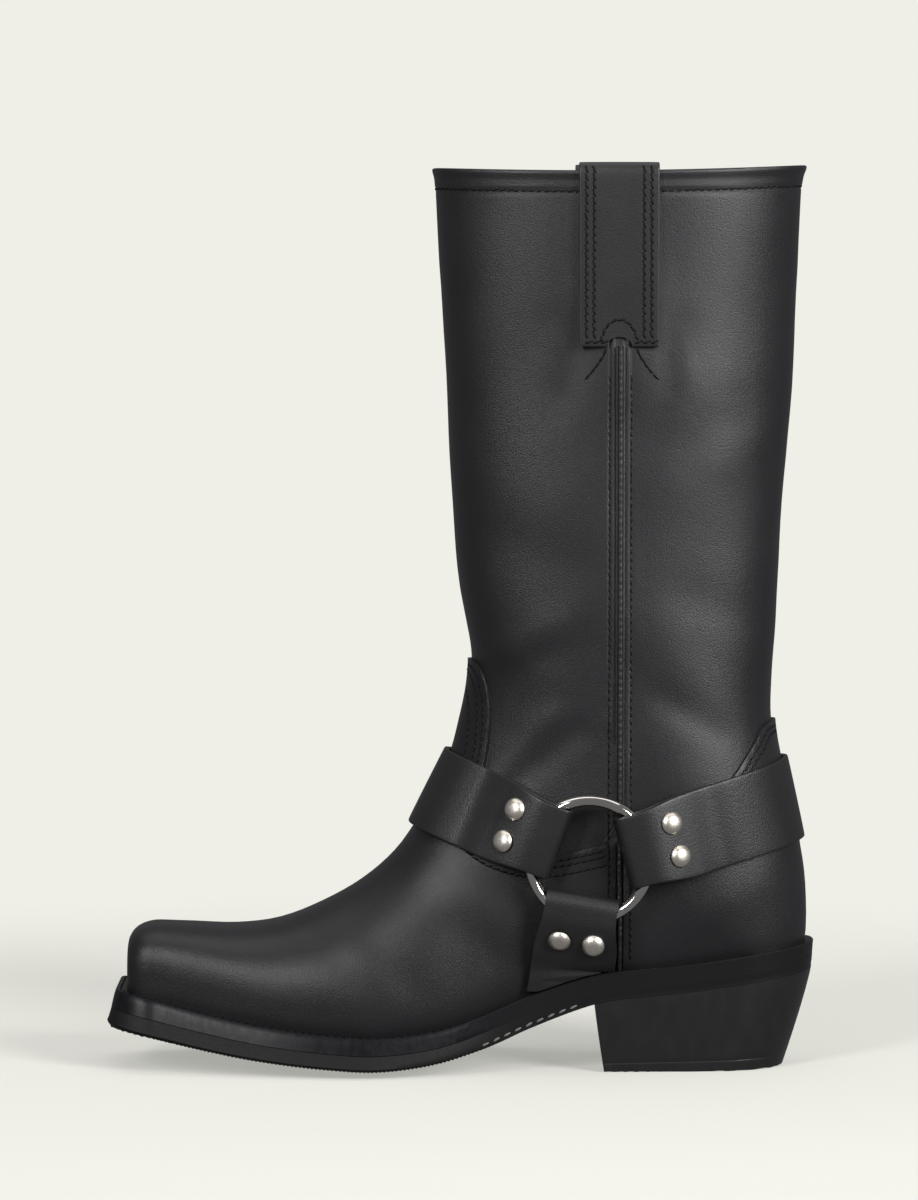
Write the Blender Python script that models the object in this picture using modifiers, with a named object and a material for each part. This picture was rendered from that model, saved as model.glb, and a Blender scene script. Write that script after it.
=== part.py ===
# Harness boot for the right foot: square toe, pull-on shaft, three-way strap harness
# with a ring on each side, stitched sole and slanted heel.
# Metres, +Z up. The toe points along -X, the inner (medial) side is -Y.

import math

import bmesh
import bpy
from mathutils import Matrix, Vector
from mathutils.bvhtree import BVHTree

# Driving sizes of the whole boot
SOLE_LENGTH = 0.284
BALL_WIDTH = 0.0900
SHAFT_WIDTH = 0.0720
COLLAR_HEIGHT = 0.3620
TOE_SPRING = 0.0180
HEEL_RISE = 0.0350

# Leather thicknesses and the clearance between pieces that touch
UPPER_WALL = 0.0021
OVERLAY_WALL = 0.0016
STRAP_THICKNESS = 0.0023
PULL_THICKNESS = 0.0022
GAP = 0.0003

# Sole layers, measured at the ball
WELT_THICKNESS = 0.0030
MIDSOLE_THICKNESS = 0.0040
OUTSOLE_THICKNESS = 0.0066
TREAD_CROWN = 0.0026
WELT_MARGIN = 0.0050
EDGE_FLARE = 0.0034
HEEL_TUCK = 1.25
TREAD_ROUND = 0.0009
TREAD_FLAT = 0.0003
INSOLE_THICKNESS = 0.0030

# Heel block
BREAST_X = 0.0545
BREAST_LEAN = 0.0036
HEEL_BACK_TAPER = 0.0116
HEEL_SIDE_TAPER = 0.0040

# Toe of the last
TOE_CORNER = 0.0100

# Seams and overlays, places seen from the side
SEAM_X = 0.0640
PIPING_WIDTH = 0.0026
PIPING_HEIGHT = 0.0024
COLLAR_DIP = 0.0018
COLLAR_TILT = 0.0014

# Harness
RING_RADIUS = 0.0238
RING_WIRE = 0.0022
RING_X = 0.0523
RING_HEIGHT = 0.0872
STRAP_WIDTH = 0.0335
FOLD_WIDTH = 0.0290
TAIL_REACH = 0.0420
DOWN_TAIL_REACH = 0.0390
TAIL_REST = 0.0040
FRONT_STRAP_RISE = math.radians(20.5)
REAR_STRAP_RISE = math.radians(15.2)
DOWN_STRAP_SLANT = math.radians(9.6)
FRONT_STRAP_LIFT = 0.0015
REAR_STRAP_LIFT = -0.0008

# Rivets
RIVET_RADIUS = 0.0046
RIVET_HEIGHT = 0.0024
RIVET_REACH = 0.0350
DOWN_RIVET_STEP = 0.0018
RIVET_SPACING = 0.0136

# Pull straps
PULL_X = 0.0634
PULL_WIDTH = 0.0318
PULL_DROP = 0.0715
PULL_INSIDE_DROP = 0.0480
PULL_STANDOFF = 0.0012

# Reach of the forms and tools past what they cut
FORM_DROP = 0.0140
FORM_HEADROOM = 0.0300
TOOL_DROP = 0.0500
FAR = 0.30

# Places where the sole's outline and the straps' beds are read from the upper
SKIN_LEVEL = 0.0015
SKIN_AHEAD = 0.0200
HEEL_FAN = 0.0405
DOWN_TRACK_LENGTH = 0.0560
DOWN_TRACK_DIP = 0.0060
RING_CLEAR = 0.0060
LIP_DROP = 0.0020
HEEL_HALF_WIDTH = 0.0288

# Fineness of the lofts
POINTS_AROUND = 28
NOSE_STEPS = 4
STEPS_PER_ROW = 1.3
SAMPLES_SIDE = 26
SAMPLES_TOE = 9
SAMPLES_HEEL = 7
SOLE_STATIONS = 40
HEEL_LEVELS = 5
TREAD_COLUMNS = 6
STRAP_LEVELS = (-1, -0.5, 0, 0.5, 1)
MERGE_DISTANCE = 0.00005

# Sole line: the surface that the upper stands on.
# share of length from the toe, toe spring share, heel rise share, thickness share,
# inner and outer welt margin share
SOLE_ROWS = [
    (0.000, 1.000, 0.000, 1.14, 0.90, 0.90),
    (0.042, 0.839, 0.000, 1.13, 0.92, 0.92),
    (0.095, 0.645, 0.000, 1.11, 0.98, 1.00),
    (0.148, 0.456, 0.000, 1.08, 1.00, 1.05),
    (0.201, 0.289, 0.000, 1.05, 1.00, 1.08),
    (0.264, 0.144, 0.000, 1.02, 1.00, 1.08),
    (0.320, 0.050, 0.000, 1.00, 0.96, 1.06),
    (0.377, 0.000, 0.000, 1.00, 0.86, 1.04),
    (0.430, 0.000, 0.026, 1.00, 0.70, 1.00),
    (0.482, 0.000, 0.097, 1.00, 0.56, 0.92),
    (0.535, 0.000, 0.237, 1.01, 0.48, 0.84),
    (0.599, 0.000, 0.451, 0.99, 0.46, 0.74),
    (0.681, 0.000, 0.666, 0.91, 0.48, 0.60),
    (0.722, 0.000, 0.720, 0.86, 0.52, 0.56),
    (0.828, 0.000, 0.800, 0.84, 0.60, 0.60),
    (0.905, 0.000, 0.886, 0.84, 0.66, 0.66),
    (0.979, 0.000, 0.971, 0.84, 0.72, 0.72),
    (1.000, 0.000, 1.000, 0.84, 0.72, 0.72),
]

# Last: slanting sections from the toe to above the collar, each from a front or top point
# to a bottom or back point. x in shares of sole length from the toe, z in shares of collar
# height (a back z of 0 means that the section ends under the sole line), half widths in
# shares of ball width (inner, outer) and of shaft width, level of the widest place,
# roundness exponents of the front and of the back.
LAST_ROWS = [
    (0.0722, 0.1534, 0.0722, 0.0000, 0.262, 0.262, 0.000, 0.50, 3.3, 2.6),
    (0.1197, 0.1520, 0.1197, 0.0000, 0.300, 0.306, 0.000, 0.48, 3.1, 2.6),
    (0.1831, 0.1506, 0.1831, 0.0000, 0.350, 0.362, 0.000, 0.45, 2.8, 2.6),
    (0.2447, 0.1572, 0.2465, 0.0000, 0.396, 0.418, 0.000, 0.41, 2.5, 2.6),
    (0.3056, 0.1762, 0.3099, 0.0000, 0.429, 0.468, 0.000, 0.37, 2.25, 2.6),
    (0.3627, 0.2020, 0.3803, 0.0000, 0.446, 0.496, 0.000, 0.34, 2.08, 2.6),
    (0.4095, 0.2338, 0.4648, 0.0000, 0.427, 0.507, 0.000, 0.33, 2.00, 2.6),
    (0.4472, 0.2735, 0.5563, 0.0000, 0.384, 0.473, 0.000, 0.34, 1.98, 2.6),
    (0.4761, 0.3113, 0.6549, 0.0000, 0.250, 0.317, 0.133, 0.37, 2.00, 2.6),
    (0.4940, 0.3492, 0.7606, 0.0000, 0.161, 0.202, 0.240, 0.41, 2.05, 2.6),
    (0.5052, 0.3840, 0.8750, 0.0000, 0.097, 0.113, 0.330, 0.46, 2.10, 2.5),
    (0.5125, 0.4144, 0.9640, 0.0990, 0.044, 0.048, 0.410, 0.50, 2.12, 2.35),
    (0.5162, 0.4378, 0.9868, 0.1390, 0.010, 0.010, 0.460, 0.50, 2.15, 2.2),
    (0.5176, 0.4558, 0.9876, 0.2060, 0.000, 0.000, 0.478, 0.50, 2.15, 2.15),
    (0.5160, 0.4724, 0.9765, 0.2624, 0.000, 0.000, 0.482, 0.50, 2.15, 2.15),
    (0.5118, 0.4917, 0.9590, 0.3177, 0.000, 0.000, 0.486, 0.50, 2.15, 2.15),
    (0.5068, 0.5138, 0.9455, 0.3785, 0.000, 0.000, 0.490, 0.50, 2.15, 2.15),
    (0.5012, 0.5387, 0.9442, 0.4282, 0.000, 0.000, 0.493, 0.50, 2.15, 2.15),
    (0.4950, 0.5746, 0.9495, 0.4972, 0.000, 0.000, 0.496, 0.50, 2.12, 2.12),
    (0.4901, 0.6354, 0.9570, 0.5856, 0.000, 0.000, 0.498, 0.50, 2.10, 2.10),
    (0.4831, 0.7238, 0.9669, 0.7044, 0.000, 0.000, 0.500, 0.50, 2.08, 2.08),
    (0.4761, 0.8425, 0.9750, 0.8343, 0.000, 0.000, 0.502, 0.50, 2.06, 2.06),
    (0.4687, 0.9641, 0.9835, 0.9641, 0.000, 0.000, 0.505, 0.50, 2.05, 2.05),
    (0.4650, 1.0000, 0.9905, 1.0000, 0.000, 0.000, 0.506, 0.50, 2.05, 2.05),
]

# Outlines seen from the side, in shares of sole length and of collar height
VAMP_EDGE = [
    (0.7020, 0.2545),
    (0.6320, 0.2425),
    (0.5920, 0.2420),
    (0.5500, 0.2520),
    (0.5270, 0.2660),
    (0.5200, 0.2873),
    (0.5240, 0.3145),
    (0.5352, 0.3455),
    (0.5410, 0.3800),
    (0.5408, 0.4065),
    (0.5366, 0.4280),
    (0.5268, 0.4461),
    (0.5120, 0.4545),
    (0.4700, 0.4560),
]
COUNTER_EDGE = [
    (0.7480, 0.2560),
    (0.7900, 0.2620),
    (0.8350, 0.2860),
    (0.8840, 0.3270),
    (0.9155, 0.3620),
    (0.9400, 0.3850),
    (1.0100, 0.3900),
]


def remove_everything():
    for thing in list(bpy.data.objects):
        bpy.data.objects.remove(thing)


def curve_at(rows, place, column):
    """Smooth value of one column of a table at a place along its first column."""
    place = min(max(place, rows[0][0]), rows[-1][0])
    i = 0
    while i < len(rows) - 2 and rows[i + 1][0] < place:
        i += 1

    def slope(k):
        a, b = max(k - 1, 0), min(k + 1, len(rows) - 1)
        return (rows[b][column] - rows[a][column]) / (rows[b][0] - rows[a][0])

    span = rows[i + 1][0] - rows[i][0]
    t = (place - rows[i][0]) / span
    start, end = rows[i][column], rows[i + 1][column]
    return (
        (2 * t**3 - 3 * t**2 + 1) * start
        + (t**3 - 2 * t**2 + t) * span * slope(i)
        + (3 * t**2 - 2 * t**3) * end
        + (t**3 - t**2) * span * slope(i + 1)
    )


def smoothstep(low, high, value):
    t = min(max((value - low) / (high - low), 0.0), 1.0)
    return t * t * (3 - 2 * t)


def x_of(share):
    return (share - 0.5) * SOLE_LENGTH


def share_of(x):
    return x / SOLE_LENGTH + 0.5


def sole_line(x):
    """Height of the surface that the upper and the insole stand on."""
    share = share_of(x)
    layers = WELT_THICKNESS + MIDSOLE_THICKNESS + OUTSOLE_THICKNESS
    spring = TOE_SPRING * curve_at(SOLE_ROWS, share, 1)
    rise = HEEL_RISE * curve_at(SOLE_ROWS, share, 2)
    return layers + TREAD_CROWN + spring + rise


def layer_share(x):
    return curve_at(SOLE_ROWS, share_of(x), 3)


# Line of the last: a little to the inner side, so that the sole's widest places
# lie equally far from the frame's XZ plane
LAST_LINE_Y = -0.5 * BALL_WIDTH * (
    max(row[5] for row in LAST_ROWS) - max(row[4] for row in LAST_ROWS)
) - 0.5 * WELT_MARGIN * (max(row[5] for row in SOLE_ROWS) - max(row[4] for row in SOLE_ROWS))


def last_row(place):
    """One interpolated section of the last, as points and half widths in metres."""
    numbered = [(float(i), *row) for i, row in enumerate(LAST_ROWS)]
    column = [curve_at(numbered, place, k) for k in range(1, 11)]
    front = Vector((x_of(column[0]), 0.0, column[1] * COLLAR_HEIGHT))
    back_x = x_of(column[2])
    under_sole = sole_line(back_x) - FORM_DROP
    back = Vector((back_x, 0.0, max(column[3] * COLLAR_HEIGHT, under_sole)))
    inner = column[4] * BALL_WIDTH + column[6] * SHAFT_WIDTH
    outer = column[5] * BALL_WIDTH + column[6] * SHAFT_WIDTH
    return front, back, inner, outer, column[7], column[8], column[9]


def section_loop(row, offset):
    """Closed loop of points of one section, moved outwards by an offset."""
    front, back, inner, outer, widest, front_round, back_round = row
    along = (front - back).normalized()
    front = front + along * offset
    back = back - along * offset
    loop = []
    for k in range(POINTS_AROUND):
        angle = 2 * math.pi * (k + 0.5) / POINTS_AROUND
        c, s = math.cos(angle), math.sin(angle)
        power = 2 / (front_round if c >= 0 else back_round)
        reach = abs(c) ** power
        level = widest + (1 - widest) * reach if c >= 0 else widest - widest * reach
        half = (outer if s > 0 else inner) + offset
        y = LAST_LINE_Y + math.copysign(half * abs(s) ** power, s)
        point = back.lerp(front, level)
        loop.append(Vector((point.x, y, point.z)))
    return loop


def nose_loops(offset):
    """Sections of the square toe, rounded into its flat front face."""
    front, back, inner, outer, widest, front_round, back_round = last_row(0.0)
    corner = TOE_CORNER + offset
    face_x = front.x - TOE_CORNER - offset
    loops = []
    for k in range(NOSE_STEPS):
        angle = math.radians(6) + (math.pi / 2 - math.radians(6)) * k / NOSE_STEPS
        x = face_x + corner * (1 - math.cos(angle))
        inset = TOE_CORNER * (1 - math.sin(angle))
        top = Vector((x, 0.0, front.z - 0.75 * inset))
        low = Vector((x, 0.0, sole_line(x) - FORM_DROP + 0.2 * inset))
        row = (top, low, inner - 0.8 * inset, outer - 0.8 * inset, widest, front_round, back_round)
        loops.append(section_loop(row, offset))
    return loops


def form_loops(offset):
    """All sections of the last's form, from the toe to above the collar."""
    loops = nose_loops(offset)
    rows = len(LAST_ROWS) - 1
    steps = round(rows * STEPS_PER_ROW)
    for k in range(steps + 1):
        loops.append(section_loop(last_row(rows * k / steps), offset))
    top = [point + Vector((0, 0, FORM_HEADROOM)) for point in loops[-1]]
    return loops + [top]


def mesh_object(name, mesh_data, collection):
    item = bpy.data.objects.new(name, mesh_data)
    collection.objects.link(item)
    return item


def loft_object(name, loops, collection):
    """Closed solid through loops of equal length, with flat or fanned ends."""
    shape = bmesh.new()
    rings = [[shape.verts.new(point) for point in loop] for loop in loops]
    count = len(loops[0])
    for low, high in zip(rings, rings[1:]):
        for k in range(count):
            n = (k + 1) % count
            shape.faces.new((low[k], low[n], high[n], high[k]))
    shape.faces.new(reversed(rings[0]))
    shape.faces.new(rings[-1])
    bmesh.ops.triangulate(shape, faces=shape.faces[:])
    bmesh.ops.recalc_face_normals(shape, faces=shape.faces[:])
    data = bpy.data.meshes.new(name)
    shape.to_mesh(data)
    shape.free()
    return mesh_object(name, data, collection)


def side_prism(name, outline, y_low, y_high, collection):
    """Outline seen from the side, stretched across the boot."""
    loops = [[Vector((x, y, z)) for x, z in outline] for y in (y_low, y_high)]
    return loft_object(name, loops, collection)


def boolean(item, operation, tool):
    step = item.modifiers.new(operation.lower(), "BOOLEAN")
    step.operation = operation
    step.object = tool
    step.solver = "EXACT"


def bake(item):
    """Replaces an object's mesh with its evaluated one and drops the modifiers."""
    bpy.context.view_layer.update()
    graph = bpy.context.evaluated_depsgraph_get()
    data = bpy.data.meshes.new_from_object(item.evaluated_get(graph))
    item.modifiers.clear()
    item.data = data
    return item


def surface_tree(item):
    bpy.context.view_layer.update()
    return BVHTree.FromObject(item, bpy.context.evaluated_depsgraph_get())


def plain_look(name, colour, roughness, metallic=0.0):
    material = bpy.data.materials.new(name)
    material.use_nodes = True
    shader = material.node_tree.nodes["Principled BSDF"]
    shader.inputs["Base Color"].default_value = (*colour, 1.0)
    shader.inputs["Roughness"].default_value = roughness
    shader.inputs["Metallic"].default_value = metallic
    return material


def finish(item, material):
    item.data.materials.clear()
    item.data.materials.append(material)
    item.data.set_sharp_from_angle(angle=math.radians(35))
    return item


def skin_outline(skin):
    """Pairs of points, inner and outer, of the covered upper where it meets the sole."""
    toe_x = x_of(LAST_ROWS[0][0]) + TOE_CORNER
    heel_x = x_of(1.0) - HEEL_FAN
    pairs = []

    def cast(origin, direction):
        x = origin.x + direction.x * SKIN_AHEAD
        start = Vector((origin.x, origin.y, sole_line(x) + SKIN_LEVEL)) + direction * FAR
        hit = skin.ray_cast(start, -direction)
        return Vector((hit[0].x, hit[0].y))

    for k in range(SAMPLES_TOE):
        angle = math.radians(4 + 80 * k / (SAMPLES_TOE - 1))
        origin = Vector((toe_x, LAST_LINE_Y, 0))
        pairs.append([cast(origin, Vector((-math.cos(angle), side * math.sin(angle), 0)))
                      for side in (-1, 1)])
    for k in range(SAMPLES_SIDE + 1):
        origin = Vector((toe_x + (heel_x - toe_x) * k / SAMPLES_SIDE, LAST_LINE_Y, 0))
        pairs.append([cast(origin, Vector((0, side, 0))) for side in (-1, 1)])
    for k in range(1, SAMPLES_HEEL + 1):
        angle = math.radians(86 * k / SAMPLES_HEEL)
        origin = Vector((heel_x, LAST_LINE_Y, 0))
        pairs.append([cast(origin, Vector((math.sin(angle), side * math.cos(angle), 0)))
                      for side in (-1, 1)])
    return pairs


def flare(x):
    """How far the sole's edge leans out from its top to its bottom."""
    return EDGE_FLARE * (1 - HEEL_TUCK * smoothstep(0.30, 0.66, share_of(x)))


def grown(pairs, depth, extra=0.0):
    """The outline moved out by the welt's margin, the edge's lean and an extra width."""
    result = []
    for i, pair in enumerate(pairs):
        before, after = pairs[max(i - 1, 0)], pairs[min(i + 1, len(pairs) - 1)]
        moved = []
        for side, sign in ((0, -1), (1, 1)):
            tangent = (after[side] - before[side]).normalized()
            if i == 0:
                tangent = Vector((0, sign))
            if i == len(pairs) - 1:
                tangent = Vector((0, -sign))
            outward = Vector((-tangent.y, tangent.x)) * sign
            margin = WELT_MARGIN * curve_at(SOLE_ROWS, share_of(pair[side].x), 4 + side)
            lean = depth * flare(pair[side].x)
            moved.append(pair[side] + outward * (margin + lean + extra))
        result.append(moved)
    return result


def sole_plate(name, high, deep, top, low, collection):
    """Plate between two height functions, its edge leaning between two outlines."""
    loops = []
    for upper_pair, lower_pair in zip(high, deep):
        above = [Vector((p.x, p.y, top(p.x))) for p in upper_pair]
        below = [Vector((p.x, p.y, low(p.x))) for p in lower_pair]
        loops.append([above[0], above[1], below[1], below[0]])
    return loft_object(name, loops, collection)


def layer_top(x, depth):
    return sole_line(x) - GAP - depth * layer_share(x)


def make_soles(pairs, collection):
    """Welt, midsole, outsole and heel block under the upper."""
    mid_depth = WELT_THICKNESS
    out_depth = mid_depth + MIDSOLE_THICKNESS
    full = out_depth + OUTSOLE_THICKNESS
    outlines = [grown(pairs, depth / full) for depth in (0.0, mid_depth, out_depth, full)]

    welt = sole_plate(
        "welt", outlines[0], outlines[1],
        lambda x: layer_top(x, 0.0),
        lambda x: layer_top(x, mid_depth) + GAP,
        collection)
    midsole = sole_plate(
        "midsole", outlines[1], outlines[2],
        lambda x: layer_top(x, mid_depth),
        lambda x: layer_top(x, out_depth) + GAP,
        collection)

    outsole = make_outsole(pairs, outlines[2], outlines[3], out_depth, full, collection)
    heel = make_heel(pairs, full, collection)
    return welt, midsole, outsole, heel


def make_outsole(pairs, top_pairs, edge_pairs, out_depth, full, collection):
    """Rubber outsole, crowned across the tread and flat where it stands."""
    low_pairs = grown(pairs, 1.0, -TREAD_ROUND)
    columns = TREAD_COLUMNS

    def under(x, share):
        crown = (TREAD_CROWN + TREAD_FLAT) * (1 - smoothstep(0.56, 0.70, share_of(x)))
        bulge = 1 - max(0.0, 1.5 * abs(2 * share - 1) - 0.5) ** 1.6
        return max(layer_top(x, full) + GAP - crown * bulge, 0.0)

    loops = []
    for top, edge, low in zip(top_pairs, edge_pairs, low_pairs):
        loop = [Vector((p.x, p.y, layer_top(p.x, out_depth))) for p in top]
        rim = [Vector((p.x, p.y, under(p.x, 0) + TREAD_ROUND)) for p in edge]
        tread = [low[0].lerp(low[1], k / columns) for k in range(columns + 1)]
        tread = [Vector((p.x, p.y, under(p.x, k / columns))) for k, p in enumerate(tread)]
        loops.append([loop[0], loop[1], rim[1], *reversed(tread), rim[0]])
    return loft_object("outsole", loops, collection)


def make_heel(pairs, full, collection):
    """Slanted heel block under the outsole, flat on the floor."""
    edge = grown(pairs, 1.0, -TREAD_ROUND)
    behind = [pair for pair in edge if min(pair[0].x, pair[1].x) > BREAST_X + LIP_DROP]
    before = [pair for pair in edge if min(pair[0].x, pair[1].x) <= BREAST_X + LIP_DROP][-1]
    share = (BREAST_X - before[0].x) / (behind[0][0].x - before[0].x)
    breast = [a.lerp(b, share) for a, b in zip(before, behind[0])]
    stations = [breast, *behind]
    back_x = max(stations[-1][0].x, stations[-1][1].x)
    loops = []
    for pair in stations:
        sides = []
        for point in pair:
            column = []
            for k in range(HEEL_LEVELS + 1):
                rise = k / HEEL_LEVELS
                along = (point.x - BREAST_X) / (back_x - BREAST_X)
                curve = (1 - rise) ** 1.15
                x = point.x + curve * (BREAST_LEAN * (1 - along) - HEEL_BACK_TAPER * along)
                half = abs(point.y - LAST_LINE_Y)
                narrow = 1 - curve * HEEL_SIDE_TAPER / HEEL_HALF_WIDTH
                y = LAST_LINE_Y + math.copysign(half * narrow, point.y - LAST_LINE_Y)
                top = layer_top(point.x, full)
                column.append(Vector((x, y, rise * top)))
            sides.append(column)
        loops.append(sides[0] + list(reversed(sides[1])))
    return loft_object("heel", loops, collection)


def along_sole(lift):
    """Sole line seen from the side, raised by a lift, from before the toe to past the heel."""
    stations = [x_of(-0.1 + 1.2 * k / SOLE_STATIONS) for k in range(SOLE_STATIONS + 1)]
    return [(x, sole_line(x) + lift) for x in stations]


def ground_prism(collection):
    """Everything below the sole line and a gap: the cut under the upper."""
    line = along_sole(GAP)
    outline = line + [(line[-1][0], -TOOL_DROP), (line[0][0], -TOOL_DROP)]
    return side_prism("ground_cut", outline, -FAR, FAR, collection)


def collar_prism(collection):
    """Everything above the collar, which dips a little at its sides."""
    middle = x_of(0.73)
    half = 0.30 * SOLE_LENGTH
    outline = []
    for k in range(13):
        x = middle - half + 2 * half * k / 12
        dip = COLLAR_DIP * (1 - min(abs(x - middle) / (0.26 * SOLE_LENGTH), 1.0) ** 2)
        tilt = 0.5 * COLLAR_TILT * ((x - middle) / half - 1)
        outline.append((x, COLLAR_HEIGHT - dip + tilt))
    top = COLLAR_HEIGHT + 2 * FORM_HEADROOM
    outline += [(middle + half, top), (middle - half, top)]
    return side_prism("collar_cut", outline, -FAR, FAR, collection)


def arc_through(points, steps=2):
    """Smooth line through the points of an edge table, in metres."""
    numbered = [(float(i), x_of(x), z * COLLAR_HEIGHT) for i, (x, z) in enumerate(points)]
    count = (len(points) - 1) * steps
    return [(curve_at(numbered, i / steps, 1), curve_at(numbered, i / steps, 2))
            for i in range(count + 1)]


def vamp_outline():
    """Side outline of the vamp with its tongue: everything in front of the seam."""
    edge = arc_through(VAMP_EDGE)
    seam = SEAM_X - 0.5 * PIPING_WIDTH - GAP
    edge[0] = (seam, edge[0][1])
    front = x_of(-0.1)
    return edge + [(x_of(0.36), edge[-1][1]), (front, edge[-1][1]),
                   (front, -TOOL_DROP), (seam, -TOOL_DROP)]


def counter_outline():
    """Side outline of the heel counter: everything behind the seam."""
    edge = arc_through(COUNTER_EDGE)
    seam = SEAM_X + 0.5 * PIPING_WIDTH + GAP
    back = x_of(1.1)
    return [(seam, edge[0][1])] + edge + [(back, edge[-1][1]),
                                       (back, -TOOL_DROP), (seam, -TOOL_DROP)]


def overlay(name, outline, height, ground, collection, cutters, y_low=-FAR, y_high=FAR):
    """Leather layer cut between two larger forms, to an outline seen from the side."""
    outer = loft_object(name, form_loops(GAP + height), collection)
    inner = loft_object(name + "_inside", form_loops(GAP), cutters)
    pattern = side_prism(name + "_pattern", outline, y_low, y_high, cutters)
    boolean(outer, "INTERSECT", pattern)
    bake(outer)
    boolean(outer, "DIFFERENCE", inner)
    bake(outer)
    boolean(outer, "DIFFERENCE", ground)
    return bake(outer)


def make_upper(ground, collar, collection, cutters):
    """Hollow upper and shaft, open at the collar and under the foot."""
    upper = loft_object("upper", form_loops(0.0), collection)
    lining = loft_object("upper_inside", form_loops(-UPPER_WALL), cutters)
    for tool in (ground, collar):
        boolean(upper, "DIFFERENCE", tool)
        bake(upper)
    boolean(upper, "DIFFERENCE", lining)
    return bake(upper)


def make_insole(collection, cutters):
    """Insole lying on the welt inside the upper."""
    insole = loft_object("insole", form_loops(-UPPER_WALL - GAP), collection)
    outline = along_sole(INSOLE_THICKNESS) + along_sole(0.0)[::-1]
    slab = side_prism("insole_slab", outline, -FAR, FAR, cutters)
    boolean(insole, "INTERSECT", slab)
    return bake(insole)


def ribbon_object(name, nodes, thickness, collection):
    """Flat strap through nodes of (centre, direction across, width)."""
    loops = []
    for i, (centre, across, width) in enumerate(nodes):
        before = nodes[max(i - 1, 0)][0]
        after = nodes[min(i + 1, len(nodes) - 1)][0]
        tangent = (after - before).normalized()
        across = (across - tangent * across.dot(tangent)).normalized()
        through = across.cross(tangent).normalized()
        side, half = across * (0.5 * width), through * (0.5 * thickness)
        loops.append([centre - side - half, centre + side - half,
                      centre + side + half, centre - side + half])
    return loft_object(name, loops, collection)


class SkinTrack:
    """A strap's bed on the covered upper: edge points sampled from the ring outwards."""

    def __init__(self, lows, highs):
        self.low, self.high, self.reach = lows, highs, [0.0]
        for i in range(1, len(lows)):
            step = 0.5 * (lows[i] + highs[i]) - 0.5 * (lows[i - 1] + highs[i - 1])
            self.reach.append(self.reach[-1] + step.length)

    def at(self, distance):
        """Middle of the bed, direction across it and outward normal at a distance."""
        distance = min(max(distance, 0.0), self.reach[-1] - 1e-6)
        i = 0
        while self.reach[i + 1] <= distance:
            i += 1
        t = (distance - self.reach[i]) / (self.reach[i + 1] - self.reach[i])
        low = self.low[i].lerp(self.low[i + 1], t)
        high = self.high[i].lerp(self.high[i + 1], t)
        middle = [0.5 * (self.low[k] + self.high[k]) for k in (i, i + 1)]
        across = (high - low).normalized()
        normal = across.cross((middle[1] - middle[0]).normalized()).normalized()
        return 0.5 * (low + high), across, normal


def supported(samples):
    """Straight line across a strap that clears all skin samples, as its two ends."""
    first, last = samples[0][0], samples[-1][0]
    lift = 0.0
    for k, (point, outward) in enumerate(samples):
        chord = first.lerp(last, k / (len(samples) - 1))
        lift = max(lift, (point - chord).dot(outward))
    outward = samples[len(samples) // 2][1]
    return first + outward * lift, last + outward * lift


def loop_track(skin, direction, across, lift):
    """Bed of a strap that runs from the inner ring round the boot to the outer ring."""
    lows, highs = [], []
    steps = 44
    for k in range(steps + 1):
        angle = math.pi * k / steps
        heading = Vector((0, -math.cos(angle), 0)) + direction * math.sin(angle)
        samples = []
        for level in STRAP_LEVELS:
            centre = Vector((RING_X, LAST_LINE_Y, RING_HEIGHT))
            centre += across * (lift + 0.5 * STRAP_WIDTH * level)
            hit = skin.ray_cast(centre + heading * FAR, -heading)
            samples.append((hit[0], heading))
        low, high = supported(samples)
        lows.append(low)
        highs.append(high)
    return SkinTrack(lows, highs)


def down_track(skin, side):
    """Bed of the strap that runs from a ring down to the sole."""
    direction = Vector((-math.sin(DOWN_STRAP_SLANT), 0, -math.cos(DOWN_STRAP_SLANT)))
    across = Vector((math.cos(DOWN_STRAP_SLANT), 0, -math.sin(DOWN_STRAP_SLANT))) * side
    lows, highs = [], []
    steps = 16
    for k in range(steps + 1):
        samples = []
        for level in STRAP_LEVELS:
            point = Vector((RING_X, 0, RING_HEIGHT)) + direction * (DOWN_TRACK_LENGTH * k / steps)
            point += across * (0.5 * STRAP_WIDTH * level)
            start = Vector((point.x, side * FAR, max(point.z, sole_line(point.x) - DOWN_TRACK_DIP)))
            hit = skin.ray_cast(start, Vector((0, -side, 0)))
            samples.append((Vector((point.x, hit[0].y, point.z)), Vector((0, side, 0))))
        low, high = supported(samples)
        lows.append(low)
        highs.append(high)
    return SkinTrack(lows, highs)


class RingPlane:
    """Plane of a ring, held off the upper by the inner layers of the three straps."""

    def __init__(self, skin, side):
        self.side = side
        heights = []
        reach = RING_RADIUS + RING_WIRE + RING_CLEAR
        centre = self._hit(skin, 0, 0)
        slope_x = (self._hit(skin, reach, 0) - self._hit(skin, -reach, 0))
        slope_z = (self._hit(skin, 0, reach) - self._hit(skin, 0, -reach))
        normal = slope_z.cross(slope_x) if side > 0 else slope_x.cross(slope_z)
        self.normal = normal.normalized()
        for turn in range(24):
            for radius in (0.5 * reach, 0.75 * reach, reach):
                angle = 2 * math.pi * turn / 24
                point = self._hit(skin, radius * math.cos(angle), radius * math.sin(angle))
                heights.append((point - centre).dot(self.normal))
        standoff = max(heights) + GAP + STRAP_THICKNESS + GAP + RING_WIRE
        self.centre = centre + self.normal * standoff

    def _hit(self, skin, dx, dz):
        start = Vector((RING_X + dx, self.side * FAR, RING_HEIGHT + dz))
        return skin.ray_cast(start, Vector((0, -self.side, 0)))[0]

    def along(self, direction):
        """A direction laid into the ring's plane."""
        return (direction - self.normal * direction.dot(self.normal)).normalized()


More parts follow.
